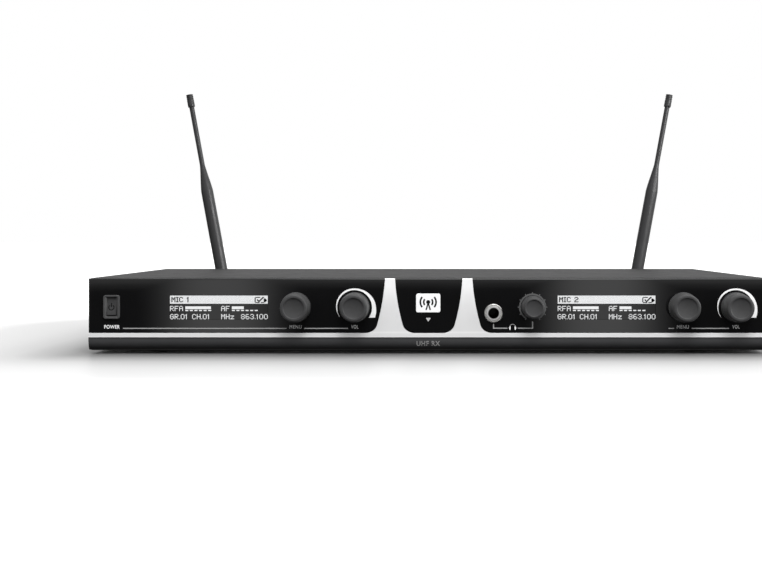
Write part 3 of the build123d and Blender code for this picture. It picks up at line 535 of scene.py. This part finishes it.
for s, (mx, _, mz), (vx, _, vz) in (("left", MENU_L, VOL_L), ("right", MENU_R, VOL_R)):
    knob(f"menu_dial_{s}", f"menu_knob_{s}", f"menu_control_{s}", mx, mz, 9.3, 8.98, 8.35, 6.3, 13.0, 0.85, 6.6, 1.6)
    knob(f"volume_dial_{s}", f"volume_knob_{s}", f"volume_control_{s}", vx, vz, 9.3, 8.98, 8.35, 6.3, 13.0, 0.4, 6.6, 1.6)
knob("phones_dial", "phones_knob", "phones_control", PHK[0], PHK[2], 7.1, 6.85, 6.4, 5.15, 12.0, 0.4, 6.0, 1.2)

# ------------------------------------------------------------------ antennas: smooth whips with grooved tips
LEAN = 10.4
for s, sg in (("left", -1), ("right", 1)):
    lo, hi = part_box(f"antenna_whip_{s}")
    # elbow: where the hinge is
    j = [q for q in frame["joints"] if q["name"] == f"antenna_tilt_{s}"][0]
    ex, ey, ez = [c / M for c in j["pos_m"]]
    th_ = radians(sg * LEAN)

    def place(v, ex=ex, ey=ey, ez=ez, t=th_):
        return [(ex + x * cos(t) + z * sin(t), ey + y, ez - x * sin(t) + z * cos(t)) for x, y, z in v]

    prof = [(0, 6.12), (3.2, 6.12), (3.8, 6.2), (4.25, 6.45), (4.6, 7.0), (4.82, 8.0), (4.88, 12.0)]
    for i in range(1, 16):
        t = i / 15
        prof.append((4.88 - 0.08 * t, 12.0 + (86.2 - 12.0) * t))
    prof += [(4.76, 87.0), (4.64, 88.2)]
    for i in range(1, 13):
        t = i / 12
        e = t * t * (3 - 2 * t)
        prof.append((4.64 + (2.02 - 4.64) * (0.75 * t + 0.25 * e), 88.2 + (108.0 - 88.2) * t))
    prof += [(1.98, 108.9)]
    for i in range(1, 9):
        prof.append((1.98, 108.9 + (156.2 - 108.9) * i / 8))
    prof += [(1.98, 162.9), (0, 162.9)]
    v, f = spin(prof, (0, 0, 0), axis="Z", segs=64)
    # tongue with a rounded end and a pin hole, seen from the side as an outline in the YZ plane
    out, hole = [], []
    N = 40
    for i in range(N):
        a = 2 * pi * i / N
        yy, zz = 4.78 * cos(a), 4.78 * sin(a)
        if zz > 0 and abs(yy) > 3.55:
            zz = zz
        out.append((yy, zz))
        hole.append((1.28 * cos(a), 1.28 * sin(a)))
    tv, tf = [], []
    for xx in (-2.0, 2.0):
        tv += [(xx, y, z) for y, z in out] + [(xx, y, z) for y, z in hole]
    for i in range(N):
        k = (i + 1) % N
        tf.append((i, k, N + k, N + i))
        tf.append((2 * N + i, 3 * N + i, 3 * N + k, 2 * N + k))
        tf.append((i, 2 * N + i, 2 * N + k, k))
        tf.append((N + i, N + k, 3 * N + k, 3 * N + i))
    nv, nf = [], []
    for zz, hw in ((3.0, 3.5), (7.0, 3.5)):
        nv += [(-1.98, -hw, zz), (1.98, -hw, zz), (1.98, hw, zz), (-1.98, hw, zz)]
    nf = [(0, 3, 2, 1), (4, 5, 6, 7), (0, 1, 5, 4), (1, 2, 6, 5), (2, 3, 7, 6), (3, 0, 4, 7)]
    w = make(f"whip_{s}", *merge((place(v), f), (place(tv), tf), (place(nv), nf)), "antenna", f"antenna_arm_{s}", "antenna_plastic", smooth=35)
    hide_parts(f"antenna_whip_{s}")
    L = 166.3
    tip = [(2.02, 155.9), (2.35, 155.9), (2.64, 156.12), (2.78, 156.6), (2.78, 158.8), (2.78, 161.4)]
    for g in (162.2, 163.6, 165.0):
        tip += [(2.78, g - 0.38), (2.70, g - 0.28), (2.44, g - 0.20), (2.40, g), (2.44, g + 0.20), (2.70, g + 0.28), (2.78, g + 0.38)]
    tip += [(2.78, 165.75), (2.68, 166.02), (2.4, 166.2), (1.9, 166.3), (0.9, 166.3), (0, 166.3), (0, 163.0), (2.02, 163.0)]
    v, f = spin(tip, (0, 0, 0), axis="Z", segs=64, closed=True)
    t_ = make(f"whip_tip_{s}", place(v), f, "antenna", f"antenna_arm_{s}", "antenna_plastic", smooth=35)
    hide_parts(f"antenna_tip_{s}")

# ------------------------------------------------------------------ displays: 128 by 32 dots
FONT = {
    "A": ["01110", "10001", "10001", "11111", "10001", "10001", "10001"],
    "C": ["01110", "10001", "10000", "10000", "10000", "10001", "01110"],
    "F": ["11111", "10000", "10000", "11110", "10000", "10000", "10000"],
    "G": ["01110", "10001", "10000", "10111", "10001", "10001", "01110"],
    "H": ["10001", "10001", "10001", "11111", "10001", "10001", "10001"],
    "I": ["111", "010", "010", "010", "010", "010", "111"],
    "M": ["10001", "11011", "10101", "10101", "10001", "10001", "10001"],
    "R": ["11110", "10001", "10001", "11110", "10100", "10010", "10001"],
    "z": ["00000", "00000", "11111", "00010", "00100", "01000", "11111"],
    "0": ["01110", "10001", "10001", "10001", "10001", "10001", "01110"],
    "1": ["010", "110", "010", "010", "010", "010", "010"],
    "2": ["01110", "10001", "00001", "00110", "01000", "10000", "11111"],
    "3": ["01110", "10001", "00001", "00110", "00001", "10001", "01110"],
    "6": ["01110", "10000", "10000", "11110", "10001", "10001", "01110"],
    "8": ["01110", "10001", "10001", "01110", "10001", "10001", "01110"],
    ".": ["0", "0", "0", "0", "0", "0", "1"], " ": ["000"] * 7,
}
BATTERY = ["0111111000110000", "1000000001100000", "1000000011001100", "1001000110001110", "1001101100001111", "1000111000001110", "1000010000001100", "0111110011110000"]


def put(grid, s, col, row, val=1):
    for c in s:
        g = FONT[c]
        for r, line in enumerate(g):
            for k, b in enumerate(line):
                if b == "1":
                    grid[row + r][col + k] = val
        col += len(g[0]) + 1
    return col


def display(name, left, title):
    g = [[0] * 128 for _ in range(32)]
    for r in range(11):
        g[r] = [1] * 128
    put(g, title, 2, 2, 0)
    for r, line in enumerate(BATTERY):
        for k, b in enumerate(line):
            if b == "1":
                g[2 + r][111 + k] = 0
    put(g, "RFA", 0, 14)
    put(g, "AF", 67, 14)
    put(g, "GR.01", 0, 25)
    put(g, "CH.01", 29, 25)
    put(g, "MHz", 67, 25)
    put(g, "863.100", 93, 25)
    pitch = DISP_W / 128.0
    pz = 14.6 / 31.0
    hw, hz = pitch * 0.475, pz * 0.475
    polys = []
    for r in range(32):
        for c in range(128):
            if g[r][c]:
                x = left + (c + 0.5) * pitch
                z = DISP_TOP - (r + 0.5) * (14.6 / 32.0)
                polys.append([(x - hw, z - hz * 31 / 32), (x + hw, z - hz * 31 / 32), (x + hw, z + hz * 31 / 32), (x - hw, z + hz * 31 / 32)])
    dz = 14.6 / 32.0
    for c0, c1 in ((20, 53.6), (81, 96.6)):
        polys.append(rect(left + c0 * pitch, left + c1 * pitch, DISP_TOP - 18.35 * dz, DISP_TOP - 14.6 * dz))
    for start in (20, 81):
        for d in range(6):
            c0 = start + d * 6
            polys.append(rect(left + c0 * pitch, left + (c0 + 3.9) * pitch, DISP_TOP - 20.9 * dz, DISP_TOP - 19.35 * dz))
    v, f = prisms(polys, YF + 0.004, YF + 0.026)
    lit_ = make(name, v, f, "lcd", "chassis", "display_glass")
    t = [[0] * 128 for _ in range(32)]
    put(t, title, 2, 2)
    for r, line in enumerate(BATTERY):
        for k, b in enumerate(line):
            if b == "1":
                t[2 + r][111 + k] = 1
    dark = []
    for r in range(32):
        for c in range(128):
            if t[r][c]:
                x, z = left + (c + 0.5) * pitch, DISP_TOP - (r + 0.5) * dz
                dark.append(rect(x - 0.72 * pitch, x + 0.72 * pitch, z - 0.62 * dz, z + 0.62 * dz))
    v, f = prisms(dark, YF + 0.0005, YF + 0.0035)
    make(name + "_title", v, f, "ink_symbol", "chassis", "display_glass")
    return lit_


display("display_dots_left", DISP_L, "MIC 1")
display("display_dots_right", DISP_R, "MIC 2")

# ------------------------------------------------------------------ printed legends on the front, a few hundredths thick
F0, F1 = YF - 0.03, YF - 0.002


def ink(name, polys, mat, extra=None, y0=F0, y1=F1, body="chassis"):
    parts = [prisms(polys, y0, y1)] if polys else []
    if extra:
        parts += extra
    return make(name, *merge(*parts), mat, body, "badge_white")


LZ = 17.2
ink("legend_power", [], "ink_white", [text_polys("POWER", 2.2, SWITCH[0] + 0.1, 17.0, F0, F1, bold=0.020, spacing=1.08, width=9.5)])
for s, (mx, _, _), (vx, _, _) in (("left", MENU_L, VOL_L), ("right", MENU_R, VOL_R)):
    ink(f"legend_menu_{s}", [], "ink_text", [text_polys("MENU", 2.25, mx - 0.15, 17.0, F0, F1, bold=0.018, spacing=1.16, width=7.4)])
    ink(f"legend_volume_{s}", [], "ink_text", [text_polys("VOL", 2.25, vx + 0.1, 17.0, F0, F1, bold=0.018, spacing=1.12, width=4.5)])
ink("legend_line_left", [rect(-188.6, -87.7, 15.66, 16.28), rect(-76.8, -49.8, 15.66, 16.28)], "ink_mid")
ink("legend_line_right", [rect(148.0, MENU_R[0] - 5.6, 15.66, 16.28), rect(MENU_R[0] + 5.3, VOL_R[0] - 4.1, 15.66, 16.28)], "ink_mid")


def crescent(cx, cz):
    """Growing arc round a volume knob, from the lower left over the top to a flat cut at the right."""
    key = [(-28, 3.3), (0, 2.5), (45, 1.6), (71, 1.1), (90, 1.02), (118, 1.12), (150, 0.96), (168, 0.80), (180, 0.58), (195, 0.38), (205, 0.26), (214, 0.05)]

    def thick(a):
        for (a0, t0), (a1, t1) in zip(key, key[1:]):
            if a0 <= a <= a1:
                return t0 + (t1 - t0) * (a - a0) / (a1 - a0)
        return key[0][1] if a < key[0][0] else 0.05

    cut = cz - 6.2
    r0 = 10.77
    inner, outer = [], []
    n = 120
    for i in range(n + 1):
        a = -40 + (214 + 40) * i / n
        pi_ = (cx + r0 * cos(radians(a)), cz + r0 * sin(radians(a)))
        ro = r0 + thick(a)
        po = (cx + ro * cos(radians(a)), cz + ro * sin(radians(a)))
        inner.append(pi_)
        outer.append(po)
    # keep what lies above the cut line
    poly_in = [p for p in inner if p[1] >= cut or p[0] < cx]
    poly_out = [p for p in outer if p[1] >= cut or p[0] < cx]
    xi = cx + math.sqrt(max(0.0, r0 * r0 - (cz - cut) ** 2))
    ao = -26.0
    for _ in range(30):
        ro = r0 + thick(ao)
        ao = -math.degrees(math.asin((cz - cut) / ro))
    xo = cx + ro * cos(radians(ao))
    poly_in = [(xi, cut)] + poly_in
    poly_out = [(xo, cut)] + poly_out
    m_ = 90

    def resample(pts):
        d = [0.0]
        for a, b in zip(pts, pts[1:]):
            d.append(d[-1] + math.dist(a, b))
        out = []
        for i in range(m_ + 1):
            t = d[-1] * i / m_
            k = 0
            while k < len(d) - 2 and d[k + 1] < t:
                k += 1
            u = (t - d[k]) / max(1e-9, d[k + 1] - d[k])
            out.append((pts[k][0] + (pts[k + 1][0] - pts[k][0]) * u, pts[k][1] + (pts[k + 1][1] - pts[k][1]) * u))
        return out

    return strip(resample(poly_in), resample(poly_out))


ink("volume_arc_left", crescent(VOL_L[0] - 0.05, 28.8), "ink_white")
ink("volume_arc_right", crescent(VOL_R[0] - 0.05, 28.8), "ink_white")

# phones scale, bracket and symbol
px, pz = PHK[0], PHK[2]
polys = ring_poly(px, pz, 7.35, 8.40, -62, 242, 90)
for i in range(11):
    a = radians(-60 + 30 * i)
    c, s_ = cos(a), sin(a)
    w = 0.34
    r0, r1 = 8.35, 9.15
    polys.append([(px + r0 * c + w * s_, pz + r0 * s_ - w * c), (px + r1 * c + w * s_, pz + r1 * s_ - w * c),
                  (px + r1 * c - w * s_, pz + r1 * s_ + w * c), (px + r0 * c - w * s_, pz + r0 * s_ + w * c)])
ink("phones_scale", polys, "ink_grey")
jx = PHJ[0]
ink("phones_bracket", [rect(jx - 0.34, jx + 0.34, 15.75, 18.7), rect(jx + 0.34, 48.6, 15.75, 16.4),
                       rect(55.0, 63.75, 15.75, 16.4), rect(63.75, 64.42, 15.75, 20.2)], "ink_mid")
hx, hz_ = 51.8, 16.55
polys = ring_poly(hx, hz_, 1.78, 2.08, 0, 180, 32)
ink("phones_band", polys, "ink_mid")
cups = []
for sg in (-1, 1):
    pts = []
    for i in range(24):
        a = 2 * pi * i / 24
        pts.append((hx + sg * 1.56 + 0.66 * cos(a) * (1.0 if cos(a) * sg > 0 else 0.55), hz_ - 0.25 + 1.32 * sin(a) * (1 - 0.10 * abs(cos(a)))))
    cups.append(pts)
ink("phones_cups", cups, "ink_white")

# marker below the badge, and a plain line of small print on the lip
ink("centre_marker", [[(-1.75, 22.45), (-0.25, 20.05), (1.25, 22.45)]], "ink_light")

# power symbol on the rocker, following its shallow dish and its tilt
def on_rocker(polys, lift):
    v, f = [], []
    t = radians(-9.0)
    py, pz_ = YF + 1.0, SWITCH[2]
    for poly in polys:
        n, b = len(poly), len(v)
        for dy in (-lift, 0.03):
            for x, z in poly:
                y = -27.62 + math.sqrt(26.4 ** 2 - z * z) + dy
                v.append((SWITCH[0] + x, py + y * cos(t) - z * sin(t), pz_ + y * sin(t) + z * cos(t)))
        f.append(tuple(range(b, b + n)))
        f.append(tuple(range(b + 2 * n - 1, b + n - 1, -1)))
        for i in range(n):
            j = (i + 1) % n
            f.append((b + i, b + n + i, b + n + j, b + j))
    return v, f


polys = ring_poly(-0.2, -0.5, 1.35, 1.85, -232, 52, 40) + [rect(-0.45, 0.05, -0.2 + k * 0.5, -0.2 + (k + 1) * 0.5) for k in range(5)]
make("power_symbol", *on_rocker(polys, 0.03), "ink_symbol", "rocker", "badge_white")

# small print on the lip, lying on its curve
def lip_y(z):
    lo_, hi_ = 0.0, 1.0
    for _ in range(40):
        t = (lo_ + hi_) / 2
        zz = 10.1 * (1 - t) ** 3 + 3 * 6.2 * t * (1 - t) ** 2 + 3 * 2.4 * t * t * (1 - t) + 2.2 * t ** 3
        if zz > z:
            lo_ = t
        else:
            hi_ = t
    return 3 * 0.9 * t * t * (1 - t) + 4.0 * t ** 3


tv, tf = text_polys("UHF RX", 3.1, -0.25, 6.75, 0.0, 1.0, bold=0.012, spacing=1.10, width=14.4)
tv = [(x, YF + lip_y(z) + (-0.03 if y < 0.5 else 0.01), z) for x, y, z in tv]
make("legend_lip", tv, tf, "ink_lip", "chassis", "badge_white")

# rear labels, read from behind
def rear_text(name, s, size, x, z):
    v, f = text_polys(s, size, x, z, 0.0, 1.0, bold=0.01, spacing=1.05)
    v = [(2 * x - a, YR + (0.03 if b < 0.5 else 0.002), c) for a, b, c in v]
    return make(name, v, f, "ink_rear", "chassis", "badge_white")


for i, (t_, x_, z_, h_) in enumerate((("A", 150.0, 24.0, 3.2), ("B", -150.0, 24.0, 3.2), ("CH 1 OUT", -88.0, 35.0, 2.4), ("CH 2 OUT", 90.0, 35.0, 2.4), ("MIX OUT", 20.0, 35.0, 2.4), ("DC IN", -30.0, 35.0, 2.4))):
    rear_text(f"rear_label_{i}", t_, h_, x_, z_)

# badge symbol: a mast with radio waves
bx_, bz = BADGE[0], BADGE[2]
yb = YF - 0.25
polys = []
for r in (2.75, 4.85):
    polys += ring_poly(bx_, bz + 0.6, r - 0.52, r + 0.52, -40, 40, 20)
    polys += ring_poly(bx_, bz + 0.6, r - 0.52, r + 0.52, 140, 220, 20)
polys += [[(bx_ + 1.25 * cos(2 * pi * i / 24), bz + 0.6 + 1.25 * sin(2 * pi * i / 24)) for i in range(24)]]
polys += [[(bx_ - 0.5, bz), (bx_ + 0.5, bz), (bx_ + 1.75, bz - 4.3), (bx_ + 0.8, bz - 4.3), (bx_, bz - 1.3), (bx_ - 0.8, bz - 4.3), (bx_ - 1.75, bz - 4.3)]]
make("badge_symbol", *prisms(polys, yb - 0.03, yb + 0.01), "badge_ink", "chassis", "badge_white")

# ------------------------------------------------------------------ floor and light
fl = bpy.data.meshes.new("floor")
fl.from_pydata([(-12, -12, 0), (12, -12, 0), (12, 12, 0), (-12, 12, 0)], [], [(0, 1, 2, 3)])
floor = bpy.data.objects.new("floor", fl)
bpy.context.scene.collection.objects.link(floor)
fm, nt, p = new_mat("floor_white")
tc = nt.nodes.new("ShaderNodeTexCoord").outputs["Object"]
nz = noise(nt, tc, 3.0, 2.0)
mix = nt.nodes.new("ShaderNodeMix")
mix.data_type = "RGBA"
mix.inputs[6].default_value = (0.92, 0.92, 0.92, 1)
mix.inputs[7].default_value = (0.94, 0.94, 0.94, 1)
nt.links.new(nz.outputs["Fac"], mix.inputs["Factor"])
sp = nt.nodes.new("ShaderNodeSeparateXYZ")
nt.links.new(tc, sp.inputs[0])
# soft contact shade round the object's footprint
dx = m2(nt, "MAXIMUM", m2(nt, "SUBTRACT", m2(nt, "ABSOLUTE", sp.outputs[0]), 0.209), 0.0)
dy = m2(nt, "MAXIMUM", m2(nt, "SUBTRACT", m2(nt, "ABSOLUTE", m2(nt, "SUBTRACT", sp.outputs[1], -0.0055)), 0.1055), 0.0)
ax_ = m2(nt, "SUBTRACT", m2(nt, "ABSOLUTE", sp.outputs[0]), 0.209)
ay_ = m2(nt, "SUBTRACT", m2(nt, "ABSOLUTE", m2(nt, "SUBTRACT", sp.outputs[1], -0.0055)), 0.1055)
inside = m2(nt, "MINIMUM", m2(nt, "MAXIMUM", ax_, ay_), 0.0)
dist = m2(nt, "ADD", m2(nt, "SQRT", m2(nt, "ADD", m2(nt, "MULTIPLY", dx, dx), m2(nt, "MULTIPLY", dy, dy))), inside)
FLOOR = [(-0.030, 0.02), (-0.021, 0.15), (-0.0146, 0.75), (-0.008, 0.30), (-0.0018, 0.172), (0.0105, 0.243), (0.0224, 0.355), (0.0339, 0.432), (0.0451, 0.523), (0.0559, 0.566), (0.0664, 0.608),
         (0.0766, 0.638), (0.0864, 0.654), (0.096, 0.665), (0.114, 0.69), (0.140, 0.74), (0.30, 0.98)]
v = nt.nodes.new("ShaderNodeVectorMath")
v.operation = "SCALE"
nt.links.new(mix.outputs[2], v.inputs[0])
nt.links.new(curve(nt, dist, FLOOR), v.inputs["Scale"])
nt.links.new(v.outputs[0], p.inputs["Base Color"])
p.inputs["Roughness"].default_value = 0.45
p.inputs["Specular IOR Level"].default_value = 0.2
# painted light: the floor glows white from 0.12 m away from the footprint outwards, so that the painted contact shade
# fades into white
p.inputs["Emission Color"].default_value = (1, 1, 1, 1)
nt.links.new(curve(nt, dist, [(0.12, 0.0), (0.26, 0.6)]), p.inputs["Emission Strength"])
outm = nt.nodes["Material Output"]
tr = nt.nodes.new("ShaderNodeBsdfTransparent")
geo = nt.nodes.new("ShaderNodeNewGeometry")
ms = nt.nodes.new("ShaderNodeMixShader")
nt.links.new(geo.outputs["Backfacing"], ms.inputs[0])
nt.links.new(p.outputs[0], ms.inputs[1])
nt.links.new(tr.outputs[0], ms.inputs[2])
nt.links.new(ms.outputs[0], outm.inputs["Surface"])
fl.materials.append(fm)
floor.visible_glossy = False
floor.visible_diffuse = False

world = bpy.data.worlds.new("world")
bpy.context.scene.world = world
world.use_nodes = True
wn = world.node_tree
wn.nodes.clear()
out = wn.nodes.new("ShaderNodeOutputWorld")
lp = wn.nodes.new("ShaderNodeLightPath")
tcw = wn.nodes.new("ShaderNodeTexCoord")
sep = wn.nodes.new("ShaderNodeSeparateXYZ")
wn.links.new(tcw.outputs["Generated"], sep.inputs[0])


def mth(op, a, b=None, c=None, clamp=False):
    n = wn.nodes.new("ShaderNodeMath")
    n.operation = op
    n.use_clamp = clamp
    for i, q in enumerate((a, b, c)):
        if q is None:
            continue
        if isinstance(q, (int, float)):
            n.inputs[i].default_value = q
        else:
            wn.links.new(q, n.inputs[i])
    return n.outputs[0]


def smooth(v, a, b, lo=0.0, hi=1.0):
    n = wn.nodes.new("ShaderNodeMapRange")
    n.interpolation_type = "SMOOTHSTEP"
    n.inputs["From Min"].default_value = a
    n.inputs["From Max"].default_value = b
    n.inputs["To Min"].default_value = lo
    n.inputs["To Max"].default_value = hi
    wn.links.new(v, n.inputs["Value"])
    return n.outputs["Result"]


X, Y, Z = sep.outputs[0], sep.outputs[1], sep.outputs[2]
front = smooth(Y, -0.25, 0.05, 1.0, 0.0)             # 1 towards the viewer's side
slope = mth("DIVIDE", X, mth("MAXIMUM", mth("MULTIPLY", Y, -1.0), 0.05))


def gauss(c, s, amp):
    d = mth("DIVIDE", mth("SUBTRACT", slope, c), s)
    return mth("MULTIPLY", mth("POWER", 2.718, mth("MULTIPLY", mth("MULTIPLY", d, d), -1.0)), amp)


def soft_strip(c, w, amp):
    """A softbox with fairly crisp edges."""
    d = mth("ABSOLUTE", mth("DIVIDE", mth("SUBTRACT", slope, c), w))
    return mth("MULTIPLY", mth("POWER", 2.718, mth("MULTIPLY", mth("POWER", d, 3.0), -1.0)), amp)


strips = mth("ADD", soft_strip(-0.1786, 0.0455, 1.28), soft_strip(0.1439, 0.0455, 1.38))
low = smooth(Z, -0.5, -0.15)
band = mth("ADD", smooth(Z, -0.0436, -0.0416, 0.04, 0.19), smooth(Z, -0.0405, -0.0360, 0.0, 0.42))
# overhead softbox, seen only by edges that face up; it ends a little right of the middle of the left window
over = mth("MULTIPLY", mth("ADD", smooth(X, -0.135, -0.095, 0.16, 0.50), smooth(X, -0.095, 0.0, 0.0, 0.45)), smooth(X, 0.165, 0.205, 1.0, 0.55))
rise = mth("MULTIPLY", smooth(Z, 0.42, 0.92, 0.0, 5.2), over)
f_env = mth("ADD", mth("MAXIMUM", mth("MULTIPLY", mth("MULTIPLY", strips, low), smooth(Z, 0.3, 0.8, 1.0, 0.1)), mth("MULTIPLY", band, smooth(Z, 0.1, 0.5, 1.0, 0.3))), rise)
b_env = mth("MULTIPLY", smooth(Z, -0.30, 0.0, 0.15, 1.0), smooth(X, -0.80, -0.35, 0.10, 1.0))
g_env = mth("ADD", mth("MULTIPLY", f_env, front), mth("MULTIPLY", b_env, mth("SUBTRACT", 1.0, front)))
# soft light for diffuse surfaces: from above and in front, next to nothing from below
d_env = mth("ADD", mth("MULTIPLY", smooth(Z, -0.10, 0.18), mth("ADD", mth("MULTIPLY", front, 0.25), 0.85)), 0.02)
non_cam = wn.nodes.new("ShaderNodeMix")
non_cam.data_type = "FLOAT"
wn.links.new(lp.outputs["Is Glossy Ray"], non_cam.inputs[0])
wn.links.new(d_env, non_cam.inputs[2])
wn.links.new(g_env, non_cam.inputs[3])
camx = wn.nodes.new("ShaderNodeMix")
camx.data_type = "FLOAT"
wn.links.new(lp.outputs["Is Camera Ray"], camx.inputs[0])
wn.links.new(non_cam.outputs[0], camx.inputs[2])
camx.inputs[3].default_value = 1.0
bg = wn.nodes.new("ShaderNodeBackground")
bg.inputs["Color"].default_value = (1, 1, 1, 1)
wn.links.new(camx.outputs[0], bg.inputs["Strength"])
wn.links.new(bg.outputs[0], out.inputs[0])


def area(name, loc, target, size, power, size_y=None):
    d = bpy.data.lights.new(name, "AREA")
    d.energy = power
    d.size = size
    if size_y:
        d.shape = "RECTANGLE"
        d.size_y = size_y
    o = bpy.data.objects.new(name, d)
    o.location = loc
    o.rotation_euler = (Vector(target) - Vector(loc)).to_track_quat("-Z", "Y").to_euler()
    bpy.context.scene.collection.objects.link(o)
    return o


k = area("key", (0.12, -0.85, 1.05), (0, -0.08, 0.03), 0.55, 12.5)
k.visible_glossy = False
r_ = area("side", (1.25, -0.50, 0.34), (0, -0.02, 0.08), 0.35, 6.5)
r_.visible_glossy = True
r_.visible_camera = False
# a second side light for the antennas alone
rods = bpy.data.collections.new("antenna_rods")
for o in list(bpy.context.scene.objects):
    if o.name.startswith(("whip_", "antenna_")) and o.type == "MESH":
        rods.objects.link(o)
a_ = area("rod_light", (0.50, -0.45, 0.26), (0, 0.118, 0.10), 0.28, 2.4)
a_.visible_camera = False
a_.visible_glossy = True
a_.light_linking.receiver_collection = rods
